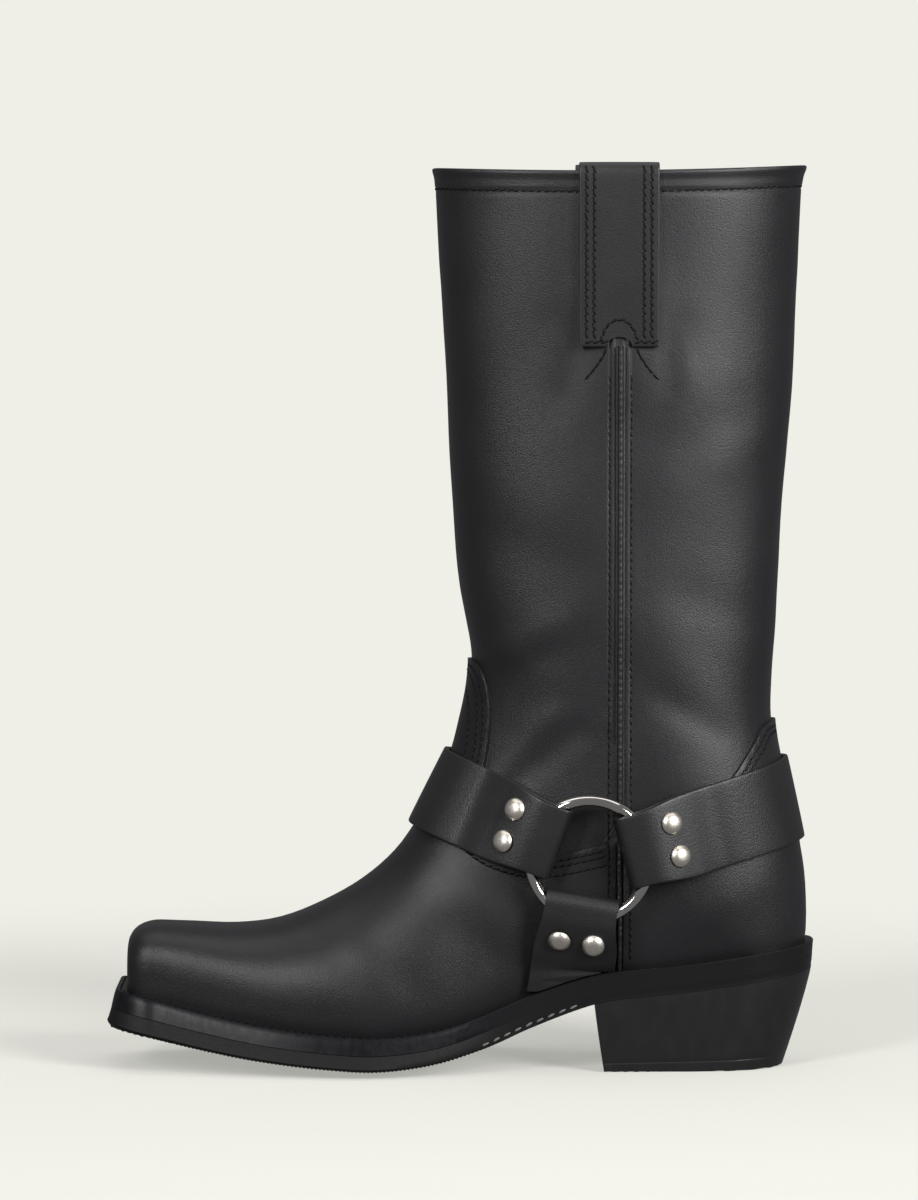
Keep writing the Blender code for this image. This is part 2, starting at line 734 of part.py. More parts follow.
def end_nodes(track_at, plane, direction, shift, tail_reach):
    """Nodes of a strap's end: the tail, the fold round the ring and the outer layer."""
    u = plane.along(direction)
    across = u.cross(plane.normal)
    if across.dot(track_at(tail_reach)[1]) < 0:
        across = -across
    half_fold = 0.5 * FOLD_WIDTH
    wire_near = math.sqrt(RING_RADIUS**2 - (half_fold + abs(shift)) ** 2)
    slant = RING_WIRE * RING_RADIUS / wire_near
    layer = RING_WIRE + GAP + 0.5 * STRAP_THICKNESS
    fold_at = wire_near - slant - GAP + layer - 0.5 * STRAP_THICKNESS

    def place(distance, plane_height, skin_height):
        bed, bed_across, bed_normal = track_at(distance)
        blend = smoothstep(RING_RADIUS, tail_reach + TAIL_REST, distance)
        flat = plane.centre + u * distance + across * shift + plane.normal * plane_height
        lying = bed + bed_normal * skin_height
        direction_across = across.lerp(bed_across, blend).normalized()
        width = FOLD_WIDTH + (STRAP_WIDTH - FOLD_WIDTH) * smoothstep(
            RING_RADIUS - RING_WIRE, tail_reach, distance)
        return flat.lerp(lying, blend), direction_across, width

    single = GAP + 0.5 * STRAP_THICKNESS
    double = 2 * GAP + 1.5 * STRAP_THICKNESS
    tail = []
    steps = 7
    for k in range(steps + 1):
        distance = tail_reach + (fold_at - tail_reach) * k / steps
        tail.append(place(distance, -layer, single))
    fold = []
    for k in range(1, 6):
        angle = -math.pi / 2 + math.pi * k / 6
        centre, turned, width = place(fold_at - layer * math.cos(angle), 0, 0)
        flat = plane.centre + u * (fold_at - layer * math.cos(angle)) + across * shift
        fold.append((flat + plane.normal * (layer * math.sin(angle)), turned, width))
    outer = []
    steps = 9
    for k in range(steps + 1):
        distance = fold_at + (tail_reach + GAP - fold_at) * k / steps
        outer.append(place(distance, layer, double))
    return tail + fold + outer


def loop_strap(name, skin, rise, heading, lift, planes, collection):
    """Strap from the inner ring round the instep or the heel to the outer ring."""
    direction = Vector((heading * math.cos(rise), 0, math.sin(rise)))
    across = Vector((-heading * math.sin(rise), 0, math.cos(rise)))
    track = loop_track(skin, direction, across, lift)
    total = track.reach[-1]

    def from_inner(distance):
        bed, over, normal = track.at(distance)
        from_axis = bed - Vector((RING_X, LAST_LINE_Y, bed.z))
        return bed, over, normal if from_axis.dot(normal) > 0 else -normal

    def from_outer(distance):
        bed, over, outward = from_inner(total - distance)
        return bed, over, outward

    single = GAP + 0.5 * STRAP_THICKNESS
    near = end_nodes(from_inner, planes[-1], direction, lift, TAIL_REACH)
    far = end_nodes(from_outer, planes[1], direction, lift, TAIL_REACH)
    middle = []
    start = TAIL_REACH + 2 * TAIL_REST
    end = total - start
    steps = 22
    for k in range(steps + 1):
        bed, over, outward = from_inner(start + (end - start) * k / steps)
        middle.append((bed + outward * single, over, STRAP_WIDTH))
    return ribbon_object(name, near + middle + list(reversed(far)), STRAP_THICKNESS, collection)


def down_strap(name, skin, side, plane, ground, collection):
    """Strap from a ring down to the welt, where the sole line cuts it."""
    direction = Vector((-math.sin(DOWN_STRAP_SLANT), 0, -math.cos(DOWN_STRAP_SLANT)))
    track = down_track(skin, side)

    def bed(distance):
        middle, over, normal = track.at(distance)
        outward = normal if normal.y * side > 0 else -normal
        return middle, over, outward

    nodes = end_nodes(bed, plane, direction, 0.0, DOWN_TAIL_REACH)
    single = GAP + 0.5 * STRAP_THICKNESS
    rest = DOWN_TAIL_REACH + 1.5 * TAIL_REST
    for distance in (rest, 0.5 * (rest + track.reach[-1]), track.reach[-1]):
        middle, over, outward = bed(distance)
        nodes.append((middle + outward * single, over, STRAP_WIDTH))
    strap = ribbon_object(name, nodes, STRAP_THICKNESS, collection)
    boolean(strap, "DIFFERENCE", ground)
    return bake(strap)


def make_ring(name, plane, collection):
    bpy.ops.mesh.primitive_torus_add(
        major_segments=26, minor_segments=7,
        major_radius=RING_RADIUS, minor_radius=RING_WIRE,
        location=plane.centre, rotation=plane.normal.to_track_quat("Z", "Y").to_euler())
    ring = bpy.context.active_object
    ring.name = name
    for group in list(ring.users_collection):
        group.objects.unlink(ring)
    collection.objects.link(ring)
    ring.data.shade_smooth()
    return ring


def rivet_mesh(cutters):
    """Domed cap turned from its profile."""
    profile = [(0.0, 1.0), (0.42, 0.93), (0.75, 0.68), (0.95, 0.30), (1.0, 0.0), (0.0, 0.0)]
    points = [(across * RIVET_RADIUS, 0, up * RIVET_HEIGHT) for across, up in profile]
    data = bpy.data.meshes.new("rivet")
    data.from_pydata(points, [(k, k + 1) for k in range(len(points) - 1)], [])
    turned = mesh_object("rivet_turning", data, cutters)
    screw = turned.modifiers.new("screw", "SCREW")
    screw.axis = "Z"
    screw.angle = 2 * math.pi
    screw.steps = screw.render_steps = 12
    screw.use_merge_vertices = True
    screw.merge_threshold = MERGE_DISTANCE
    return bake(turned).data


def make_rivets(prefix, strap, direction, across_shift, side, reach, data, collection):
    """Pair of rivets on a strap's outer layer, across the strap."""
    tree = surface_tree(strap)
    across = Vector((-direction.z, 0, direction.x))
    rivets = []
    for number, share in ((1, -0.5), (2, 0.5)):
        offset = direction * reach + across * (across_shift + share * RIVET_SPACING)
        start = Vector((RING_X + offset.x, side * FAR, RING_HEIGHT + offset.z))
        point, normal, _, _ = tree.ray_cast(start, Vector((0, -side, 0)))
        lift = 0.0
        turned = normal.to_track_quat("Z", "Y")
        for turn in range(8):
            spin = Matrix.Rotation(math.pi * turn / 4, 3, "Z")
            rim = turned @ (spin @ Vector((RIVET_RADIUS, 0, 0)))
            hit = tree.ray_cast(point + rim + normal * RIVET_RADIUS, -normal)[0]
            if hit:
                lift = max(lift, (hit - point).dot(normal))
        rivet = mesh_object(f"{prefix}_{number}", data, collection)
        rivet.location = point + normal * (GAP + lift)
        rivet.rotation_euler = turned.to_euler()
        rivets.append(rivet)
    return rivets


def pull_strap(name, upper, side, collection):
    """Doubled strap that hooks over the collar at the side seam."""
    tree = surface_tree(upper)
    across = Vector((1, 0, 0))
    reach_down = COLLAR_HEIGHT - PULL_DROP
    rows = 7

    def wall(z, outside):
        y_start = side * FAR if outside else LAST_LINE_Y
        towards = Vector((0, -side if outside else side, 0))
        ys = []
        for x in (PULL_X - 0.45 * PULL_WIDTH, PULL_X, PULL_X + 0.45 * PULL_WIDTH):
            ys.append(tree.ray_cast(Vector((x, y_start, z)), towards)[0].y)
        return side * (max(y * side for y in ys) if outside else min(y * side for y in ys))

    hold = GAP + 0.5 * PULL_THICKNESS
    lip = COLLAR_HEIGHT - COLLAR_DIP - LIP_DROP
    nodes = []
    for k in range(rows):
        z = reach_down + (lip - reach_down) * k / (rows - 1)
        nodes.append((Vector((PULL_X, wall(z, True) + side * hold, z)), across, PULL_WIDTH))
    outside, inside = wall(lip, True) + side * hold, wall(lip, False) - side * hold
    middle, radius = 0.5 * (outside + inside), 0.5 * abs(outside - inside)
    crown = COLLAR_HEIGHT - COLLAR_DIP + PULL_STANDOFF + 0.5 * PULL_THICKNESS
    for k in range(1, 6):
        angle = math.pi * k / 6
        z = crown - (crown - lip) * (1 - math.sin(angle)) ** 1.6
        y = middle + side * radius * math.cos(angle)
        nodes.append((Vector((PULL_X, y, z)), across, PULL_WIDTH))
    for k in range(5):
        z = lip - (PULL_INSIDE_DROP - LIP_DROP) * k / 4
        nodes.append((Vector((PULL_X, wall(z, False) - side * hold, z)), across, PULL_WIDTH))
    return ribbon_object(name, nodes, PULL_THICKNESS, collection)


def centre_on_floor(collection):
    """Moves every piece so that the boot's box stands centred on the origin."""
    bpy.context.view_layer.update()
    points = [item.matrix_world @ vertex.co
              for item in collection.objects for vertex in item.data.vertices]
    low = Vector([min(point[axis] for point in points) for axis in range(3)])
    high = Vector([max(point[axis] for point in points) for axis in range(3)])
    shift = Vector((-0.5 * (low.x + high.x), -0.5 * (low.y + high.y), -low.z))
    for item in collection.objects:
        item.location += shift
    bpy.context.view_layer.update()


def main():
    remove_everything()
    scene = bpy.context.scene.collection
    boot = bpy.data.collections.new("harness_boot")
    cutters = bpy.data.collections.new("cutters")
    scene.children.link(boot)
    scene.children.link(cutters)

    black = plain_look("black_leather", (0.030, 0.030, 0.033), 0.48)
    strap_black = plain_look("strap_leather", (0.034, 0.034, 0.037), 0.50)
    edge_black = plain_look("edge_leather", (0.020, 0.020, 0.024), 0.22)
    rubber = plain_look("sole_rubber", (0.045, 0.044, 0.043), 0.62)
    lining = plain_look("insole_leather", (0.30, 0.22, 0.15), 0.60)
    nickel = plain_look("nickel", (0.72, 0.69, 0.64), 0.28, metallic=1.0)

    ground = ground_prism(cutters)
    collar = collar_prism(cutters)

    upper = finish(make_upper(ground, collar, boot, cutters), black)
    finish(overlay("vamp", vamp_outline(), OVERLAY_WALL, ground, boot, cutters), black)
    finish(overlay("heel_counter", counter_outline(), OVERLAY_WALL, ground, boot, cutters), black)

    seam_low, seam_high = SEAM_X - 0.5 * PIPING_WIDTH, SEAM_X + 0.5 * PIPING_WIDTH
    seam_top = COLLAR_HEIGHT - PULL_DROP - 2 * GAP
    piping = [(seam_low, -TOOL_DROP), (seam_high, -TOOL_DROP), (seam_high, seam_top),
              (seam_low, seam_top)]
    for word, low, high in (("inner", -FAR, LAST_LINE_Y), ("outer", LAST_LINE_Y, FAR)):
        finish(overlay(f"side_piping_{word}", piping, PIPING_HEIGHT, ground, boot,
                       cutters, low, high), black)

    finish(make_insole(boot, cutters), lining)

    covered = loft_object("covered_form", form_loops(GAP + OVERLAY_WALL), cutters)
    bulged = loft_object("piped_form", form_loops(GAP + PIPING_HEIGHT), cutters)
    pairs = skin_outline(surface_tree(covered))
    welt, midsole, outsole, heel = make_soles(pairs, boot)
    finish(welt, edge_black)
    finish(midsole, edge_black)
    finish(outsole, rubber)
    finish(heel, rubber)

    skin = surface_tree(bulged)
    planes = {side: RingPlane(skin, side) for side in (-1, 1)}
    front = finish(loop_strap("front_strap", skin, FRONT_STRAP_RISE, -1, FRONT_STRAP_LIFT,
                              planes, boot), strap_black)
    rear = finish(loop_strap("rear_strap", skin, REAR_STRAP_RISE, 1, REAR_STRAP_LIFT,
                             planes, boot), strap_black)
    rivet = rivet_mesh(cutters)
    for side, word in ((-1, "inner"), (1, "outer")):
        finish(make_ring(f"ring_{word}", planes[side], boot), nickel)
        down = finish(down_strap(f"down_strap_{word}", skin, side, planes[side],
                                 ground, boot), strap_black)
        forward = Vector((-math.cos(FRONT_STRAP_RISE), 0, math.sin(FRONT_STRAP_RISE)))
        backward = Vector((math.cos(REAR_STRAP_RISE), 0, math.sin(REAR_STRAP_RISE)))
        below = Vector((-math.sin(DOWN_STRAP_SLANT), 0, -math.cos(DOWN_STRAP_SLANT)))
        sets = (("front", front, forward, -FRONT_STRAP_LIFT, RIVET_REACH),
                ("rear", rear, backward, REAR_STRAP_LIFT, RIVET_REACH),
                ("down", down, below, 0.0, RIVET_REACH - DOWN_RIVET_STEP))
        for title, strap, direction, shift, reach in sets:
            for item in make_rivets(f"rivet_{title}_{word}", strap, direction, shift, side,
                                    reach, rivet, boot):
                finish(item, nickel)
        finish(pull_strap(f"pull_strap_{word}", upper, side, boot), strap_black)

    centre_on_floor(boot)
    for tool in cutters.objects:
        tool.hide_render = True
        tool.display_type = "WIRE"


main()
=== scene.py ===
import bmesh
import bpy
import math
import random
from mathutils import Matrix, Vector, noise
from mathutils.bvhtree import BVHTree


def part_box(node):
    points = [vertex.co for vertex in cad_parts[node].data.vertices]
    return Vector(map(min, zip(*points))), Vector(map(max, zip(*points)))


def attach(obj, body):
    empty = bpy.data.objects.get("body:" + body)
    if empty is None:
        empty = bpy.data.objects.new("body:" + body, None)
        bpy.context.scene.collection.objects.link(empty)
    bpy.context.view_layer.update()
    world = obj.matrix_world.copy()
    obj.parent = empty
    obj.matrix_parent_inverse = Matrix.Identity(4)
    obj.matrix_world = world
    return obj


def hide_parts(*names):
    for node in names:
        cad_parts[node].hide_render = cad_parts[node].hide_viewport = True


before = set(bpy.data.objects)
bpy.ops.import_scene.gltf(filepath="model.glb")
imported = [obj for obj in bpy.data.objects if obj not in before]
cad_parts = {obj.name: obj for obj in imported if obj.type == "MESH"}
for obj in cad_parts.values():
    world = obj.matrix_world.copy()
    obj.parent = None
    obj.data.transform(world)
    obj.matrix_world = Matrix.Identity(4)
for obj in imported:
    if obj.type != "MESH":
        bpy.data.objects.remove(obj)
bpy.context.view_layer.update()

scene = bpy.context.scene
random.seed(17)

# Sizes shared with the frame
boot = {"length": 0.284, "ball": 0.0900, "shaft": 0.0720, "collar": 0.3620, "spring": 0.0180,
        "rise": 0.0350, "wall": 0.0021, "layer": 0.0016, "gap": 0.0003, "welt": 0.0030,
        "midsole": 0.0040, "outsole": 0.0066, "crown": 0.0026, "flat": 0.0003, "margin": 0.0050,
        "flare": 0.0034, "tuck": 1.25, "toeCorner": 0.0100, "drop": 0.0140, "seamX": 0.0640,
        "dip": 0.0018, "tilt": 0.0014, "seamTop": 0.2915}
bothSides = (("inner", -1), ("outer", 1))

# Along the sole: place, toe lift, heel lift, depth of the layers, inner and outer margin, as shares
soleRows = [
    (0.000, 1.000, 0.000, 1.14, 0.90, 0.90),
    (0.042, 0.839, 0.000, 1.13, 0.92, 0.92),
    (0.095, 0.645, 0.000, 1.11, 0.98, 1.00),
    (0.148, 0.456, 0.000, 1.08, 1.00, 1.05),
    (0.201, 0.289, 0.000, 1.05, 1.00, 1.08),
    (0.264, 0.144, 0.000, 1.02, 1.00, 1.08),
    (0.320, 0.050, 0.000, 1.00, 0.96, 1.06),
    (0.377, 0.000, 0.000, 1.00, 0.86, 1.04),
    (0.430, 0.000, 0.026, 1.00, 0.70, 1.00),
    (0.482, 0.000, 0.097, 1.00, 0.56, 0.92),
    (0.535, 0.000, 0.237, 1.01, 0.48, 0.84),
    (0.599, 0.000, 0.451, 0.99, 0.46, 0.74),
    (0.681, 0.000, 0.666, 0.91, 0.48, 0.60),
    (0.722, 0.000, 0.720, 0.86, 0.52, 0.56),
    (0.828, 0.000, 0.800, 0.84, 0.60, 0.60),
    (0.905, 0.000, 0.886, 0.84, 0.66, 0.66),
    (0.979, 0.000, 0.971, 0.84, 0.72, 0.72),
    (1.000, 0.000, 1.000, 0.84, 0.72, 0.72),
]

# Sections from toe to collar: place and height of the front line, of the back line, inner and outer
# half width by ball and by shaft, level of the widest point, roundness of front and back
lastRows = [
    (0.0722, 0.1534, 0.0722, 0.0000, 0.262, 0.262, 0.000, 0.50, 3.3, 2.6),
    (0.1197, 0.1520, 0.1197, 0.0000, 0.300, 0.306, 0.000, 0.48, 3.1, 2.6),
    (0.1831, 0.1506, 0.1831, 0.0000, 0.350, 0.362, 0.000, 0.45, 2.8, 2.6),
    (0.2447, 0.1572, 0.2465, 0.0000, 0.396, 0.418, 0.000, 0.41, 2.5, 2.6),
    (0.3056, 0.1762, 0.3099, 0.0000, 0.429, 0.468, 0.000, 0.37, 2.25, 2.6),
    (0.3627, 0.2020, 0.3803, 0.0000, 0.446, 0.496, 0.000, 0.34, 2.08, 2.6),
    (0.4095, 0.2338, 0.4648, 0.0000, 0.427, 0.507, 0.000, 0.33, 2.00, 2.6),
    (0.4472, 0.2735, 0.5563, 0.0000, 0.384, 0.473, 0.000, 0.34, 1.98, 2.6),
    (0.4761, 0.3113, 0.6549, 0.0000, 0.250, 0.317, 0.133, 0.37, 2.00, 2.6),
    (0.4940, 0.3492, 0.7606, 0.0000, 0.161, 0.202, 0.240, 0.41, 2.05, 2.6),
    (0.5052, 0.3840, 0.8750, 0.0000, 0.097, 0.113, 0.330, 0.46, 2.10, 2.5),
    (0.5125, 0.4144, 0.9640, 0.0990, 0.044, 0.048, 0.410, 0.50, 2.12, 2.35),
    (0.5162, 0.4378, 0.9868, 0.1390, 0.010, 0.010, 0.460, 0.50, 2.15, 2.2),
    (0.5176, 0.4558, 0.9876, 0.2060, 0.000, 0.000, 0.478, 0.50, 2.15, 2.15),
    (0.5160, 0.4724, 0.9765, 0.2624, 0.000, 0.000, 0.482, 0.50, 2.15, 2.15),
    (0.5118, 0.4917, 0.9590, 0.3177, 0.000, 0.000, 0.486, 0.50, 2.15, 2.15),
    (0.5068, 0.5138, 0.9455, 0.3785, 0.000, 0.000, 0.490, 0.50, 2.15, 2.15),
    (0.5012, 0.5387, 0.9442, 0.4282, 0.000, 0.000, 0.493, 0.50, 2.15, 2.15),
    (0.4950, 0.5746, 0.9495, 0.4972, 0.000, 0.000, 0.496, 0.50, 2.12, 2.12),
    (0.4901, 0.6354, 0.9570, 0.5856, 0.000, 0.000, 0.498, 0.50, 2.10, 2.10),
    (0.4831, 0.7238, 0.9669, 0.7044, 0.000, 0.000, 0.500, 0.50, 2.08, 2.08),
    (0.4761, 0.8425, 0.9750, 0.8343, 0.000, 0.000, 0.502, 0.50, 2.06, 2.06),
    (0.4687, 0.9641, 0.9835, 0.9641, 0.000, 0.000, 0.505, 0.50, 2.05, 2.05),
    (0.4650, 1.0000, 0.9905, 1.0000, 0.000, 0.000, 0.506, 0.50, 2.05, 2.05),
]

# Edges of the overlays in the side view, as shares of length and collar height
vampEdge = [(0.7020, 0.2545), (0.6320, 0.2425), (0.5920, 0.2420), (0.5500, 0.2520),
            (0.5270, 0.2660), (0.5200, 0.2873), (0.5240, 0.3145), (0.5352, 0.3455),
            (0.5410, 0.3800), (0.5408, 0.4065), (0.5366, 0.4280), (0.5268, 0.4461),
            (0.5120, 0.4545), (0.4700, 0.4560)]
counterEdge = [(0.7480, 0.2560), (0.7900, 0.2620), (0.8350, 0.2860), (0.8840, 0.3270),
               (0.9155, 0.3620), (0.9400, 0.3850), (1.0100, 0.3900)]


def curveAt(rows, place, column):
    place = min(max(place, rows[0][0]), rows[-1][0])
    i = 0
    while i < len(rows) - 2 and rows[i + 1][0] < place:
        i += 1

    def slope(k):
        a, b = max(k - 1, 0), min(k + 1, len(rows) - 1)
        return (rows[b][column] - rows[a][column]) / (rows[b][0] - rows[a][0])

    span = rows[i + 1][0] - rows[i][0]
    t = (place - rows[i][0]) / span
    return ((2 * t**3 - 3 * t**2 + 1) * rows[i][column]
            + (t**3 - 2 * t**2 + t) * span * slope(i)
            + (3 * t**2 - 2 * t**3) * rows[i + 1][column]
            + (t**3 - t**2) * span * slope(i + 1))


def smooth(low, high, value):
    t = min(max((value - low) / (high - low), 0.0), 1.0)
    return t * t * (3 - 2 * t)


def bump(value, centre, width):
    return math.exp(-((value - centre) / width) ** 2)


def xOf(share):
    return (share - 0.5) * boot["length"]


def shareOf(x):
    return x / boot["length"] + 0.5


def soleLine(x):
    layers = boot["welt"] + boot["midsole"] + boot["outsole"]
    share = shareOf(x)
    return (layers + boot["crown"] + boot["spring"] * curveAt(soleRows, share, 1)
            + boot["rise"] * curveAt(soleRows, share, 2))


numberedLast = [(i, *row) for i, row in enumerate(lastRows)]
lineY = (-0.5 * boot["ball"] * (max(r[5] for r in lastRows) - max(r[4] for r in lastRows))
         - 0.5 * boot["margin"] * (max(r[5] for r in soleRows) - max(r[4] for r in soleRows)))


def lastRow(place):
    c = [curveAt(numberedLast, place, k) for k in range(1, 11)]
    front = Vector((xOf(c[0]), 0.0, c[1] * boot["collar"]))
    backX = xOf(c[2])
    back = Vector((backX, 0.0, max(c[3] * boot["collar"], soleLine(backX) - boot["drop"])))
    return (front, back, c[4] * boot["ball"] + c[6] * boot["shaft"],
            c[5] * boot["ball"] + c[6] * boot["shaft"], c[7], c[8], c[9])


# More points close to the side seams, where the leather folds
seamAngles = [90 + 6.5 * (k / 24) for k in range(-24, 25)]
sectionAngles = sorted({round(a, 3) for a in
                        [83.5 * k / 32 for k in range(32)] + seamAngles
                        + [96.5 + 83.5 * k / 32 for k in range(1, 33)]})
sectionAngles += [a + 180 for a in sectionAngles if 0 < a < 180]


def sectionPoints(row, offset):
    front, back, inner, outer, widest, frontRound, backRound = row
    along = (front - back).normalized()
    front, back = front + along * offset, back - along * offset
    points = []
    for degrees in sectionAngles:
        c, s = math.cos(math.radians(degrees)), math.sin(math.radians(degrees))
        power = 2 / (frontRound if c >= 0 else backRound)
        reach = abs(c) ** power
        level = widest + (1 - widest) * reach if c >= 0 else widest - widest * reach
        half = (outer if s > 0 else inner) + offset
        y = lineY + math.copysign(half * abs(s) ** power, s)
        point = back.lerp(front, level)
        points.append(Vector((point.x, y, point.z)))
    return points


def formRings(offset, steps=5, noseSteps=9):
    rings = []
    front, back, inner, outer, widest, frontRound, backRound = lastRow(0.0)
    corner = boot["toeCorner"] + offset
    faceX = front.x - corner
    for k in range(noseSteps):
        angle = math.radians(2) + (math.pi / 2 - math.radians(2)) * k / noseSteps
        x = faceX + corner * (1 - math.cos(angle))
        inset = boot["toeCorner"] * (1 - math.sin(angle))
        top = Vector((x, 0.0, front.z - 0.75 * inset))
        low = Vector((x, 0.0, soleLine(x) - boot["drop"] + 0.2 * inset))
        rings.append(sectionPoints((top, low, inner - 0.8 * inset, outer - 0.8 * inset,
                                    widest, frontRound, backRound), offset))
    rows = len(lastRows) - 1
    places = [k / steps for k in range((rows - 1) * steps)]
    places += [rows - 1 + k / 14 for k in range(15)]
    rings += [sectionPoints(lastRow(place), offset) for place in places]
    return rings


def collarAt(x):
    middle, half = xOf(0.73), 0.30 * boot["length"]
    dip = boot["dip"] * (1 - min(abs(x - middle) / (0.26 * boot["length"]), 1.0) ** 2)
    return boot["collar"] - dip + 0.5 * boot["tilt"] * ((x - middle) / half - 1)


# Folds and troughs: both ends in the side view, half width, height
folds = [
    (0.013, 0.119, 0.036, 0.142, 0.0050, 0.00085),
    (0.022, 0.116, 0.046, 0.136, 0.0045, -0.00065),
    (0.008, 0.150, 0.030, 0.166, 0.0060, -0.00055),
    (0.012, 0.166, 0.040, 0.181, 0.0075, 0.00050),
    (0.079, 0.176, 0.108, 0.148, 0.0110, 0.00035),
    (0.084, 0.149, 0.104, 0.137, 0.0060, -0.00055),
    (0.096, 0.190, 0.122, 0.180, 0.0080, -0.00045),
    (0.099, 0.257, 0.128, 0.270, 0.0070, -0.00065),
    (0.100, 0.246, 0.126, 0.256, 0.0060, 0.00045),
    (0.072, 0.257, 0.092, 0.248, 0.0080, -0.00050),
    (0.010, 0.214, 0.038, 0.206, 0.0100, -0.00045),
    (-0.012, 0.095, 0.014, 0.062, 0.0090, 0.00060),
    (0.0470, 0.282, 0.0470, 0.352, 0.0110, -0.00080),
    (0.0800, 0.276, 0.0860, 0.292, 0.0060, -0.00050),
    (0.0400, 0.272, 0.0455, 0.288, 0.0060, -0.00050),
    (-0.040, 0.060, -0.020, 0.038, 0.0070, -0.00050),
    (-0.058, 0.058, -0.042, 0.040, 0.0050, -0.00035),
    (0.098, 0.064, 0.120, 0.076, 0.0090, 0.00060),
    (0.090, 0.082, 0.112, 0.092, 0.0060, -0.00045),
    (0.000, 0.060, 0.022, 0.044, 0.0060, -0.00045),
    (0.0455, 0.2905, 0.0370, 0.2850, 0.0026, 0.00070),
    (0.0460, 0.2945, 0.0340, 0.2935, 0.0030, -0.00055),
    (0.0460, 0.2870, 0.0400, 0.2790, 0.0026, -0.00050),
    (0.0805, 0.2915, 0.0890, 0.2860, 0.0026, 0.00070),
    (0.0800, 0.2955, 0.0920, 0.2950, 0.0030, -0.00055),
    (0.0800, 0.2880, 0.0860, 0.2800, 0.0026, -0.00050),
]


def foldHeight(x, z):
    height = 0.0
    for x0, z0, x1, z1, width, depth in folds:
        dx, dz = x1 - x0, z1 - z0
        size = math.hypot(dx, dz)
        t = ((x - x0) * dx + (z - z0) * dz) / size**2
        away = ((x - x0) * dz - (z - z0) * dx) / size
        over = max(0.0, abs(t - 0.5) - 0.5) * size
        height += depth * math.exp(-(away / width) ** 2 - (over / (1.6 * width)) ** 2)
    return height


# Seam, collar and surface of the leather: heights, and how far they reach
skin = {"wave": 0.00075, "ripple": 0.00012, "seamRise": 0.00045, "seamNip": 0.00040, "stitchNip": 0.00032,
        "nipWidth": 0.0005, "collarRise": 0.0004, "collarNip": 0.00030, "collarRow": 0.0076,
        "bandRise": 0.0002, "shaft": (0.064, 0.066, 0.036)}


# Moves a point of the leather out or in, away from the boot's middle line
def wrinkled(point, seam=True):
    side = point.y - lineY
    lean = smooth(0.004, 0.022, abs(side))
    x, z = point.x, point.z
    height = foldHeight(x, z) * lean
    wave = noise.noise(Vector((x * 26, side * 26 + 3.1, z * 20)))
    ripple = noise.noise(Vector((x * 75 + 9, side * 75, z * 60)))
    height += (skin["wave"] * smooth(0.060, 0.100, z) + 0.00025) * wave + skin["ripple"] * ripple
    away = abs(x - boot["seamX"])
    if seam and z < boot["seamTop"] + 0.004 and away < 0.012:
        height += lean * (skin["seamRise"] * (1 - smooth(0.0030, 0.0048, away))
                          - skin["seamNip"] * bump(away, 0.0019, skin["nipWidth"])
                          - skin["stitchNip"] * bump(away, 0.0043, skin["nipWidth"]))
    if z > boot["collar"] - 0.014:
        under = collarAt(x) - z
        height += skin["collarRise"] * (1 - smooth(0.0, 0.0035, under))
        height -= skin["collarNip"] * bump(under, skin["collarRow"], 0.0006)
        height += skin["bandRise"] * (1 - smooth(0.0068, 0.0078, under))
    outward = Vector((0.35 * (x - boot["seamX"]) / 0.07 if z > 0.09 else 0.0,
                      math.copysign(1.0, side) * lean, 0.0))
    if z > 0.12:
        middle, halfLong, halfWide = skin["shaft"]
        outward = Vector(((x - middle) / halfLong, side / halfWide, 0.0))
    if outward.length > 1e-6:
        outward.normalize()
    return point + outward * height


print("form")
flatRings = formRings(0.0)
spread = [p for ring in flatRings for p in ring]
cadLow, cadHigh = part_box("upper")
shift = Vector((cadLow.x - min(p.x for p in spread),
                0.5 * (cadLow.y + cadHigh.y)
                - 0.5 * (min(p.y for p in spread) + max(p.y for p in spread)), 0.0))
print("shift", [round(v * 1000, 3) for v in shift])


def newObject(name, shape):
    data = bpy.data.meshes.new(name)
    shape.to_mesh(data)
    shape.free()
    item = bpy.data.objects.new(name, data)
    scene.collection.objects.link(item)
    return item


# A closed line of points, extruded from each ring of places to the next
def loft(shape, rings, closeEnds=True):
    line = bmesh.ops.create_circle(shape, segments=len(rings[0]), radius=0.01)["verts"]
    edges, rows = shape.edges[:], []
    for i, ring in enumerate(rings):
        if i:
            made = bmesh.ops.extrude_edge_only(shape, edges=edges)["geom"]
            edges = [g for g in made if isinstance(g, bmesh.types.BMEdge)]
            number = {v: k for k, v in enumerate(line)}
            line = line[:]
            for v in (g for g in made if isinstance(g, bmesh.types.BMVert)):
                before = next(e.other_vert(v) for e in v.link_edges if e.other_vert(v) in number)
                line[number[before]] = v
        for v, place in zip(line, ring):
            v.co = place
        rows.append(line)
    if closeEnds:
        shape.faces.new(reversed(rows[0]))
        shape.faces.new(rows[-1])
    return rows


# What lies under the sole line goes, out of sight between the layers
def trimUnder(shape, drop=0.0012):
    gone = [f for f in shape.faces
            if all(v.co.z < soleLine(v.co.x) - drop for v in f.verts)]
    bmesh.ops.delete(shape, geom=gone, context="FACES")


def outwardFaces(shape):
    bmesh.ops.recalc_face_normals(shape, faces=shape.faces[:])


def toFrame(shape):
    bmesh.ops.translate(shape, verts=shape.verts[:], vec=shift)


def smoothShade(item, degrees=40):
    for face in item.data.polygons:
        face.use_smooth = True
    item.data.set_sharp_from_angle(angle=math.radians(degrees))


def applied(item):
    bpy.context.view_layer.update()
    data = bpy.data.meshes.new_from_object(item.evaluated_get(bpy.context.evaluated_depsgraph_get()))
    item.modifiers.clear()
    item.data = data
    return item


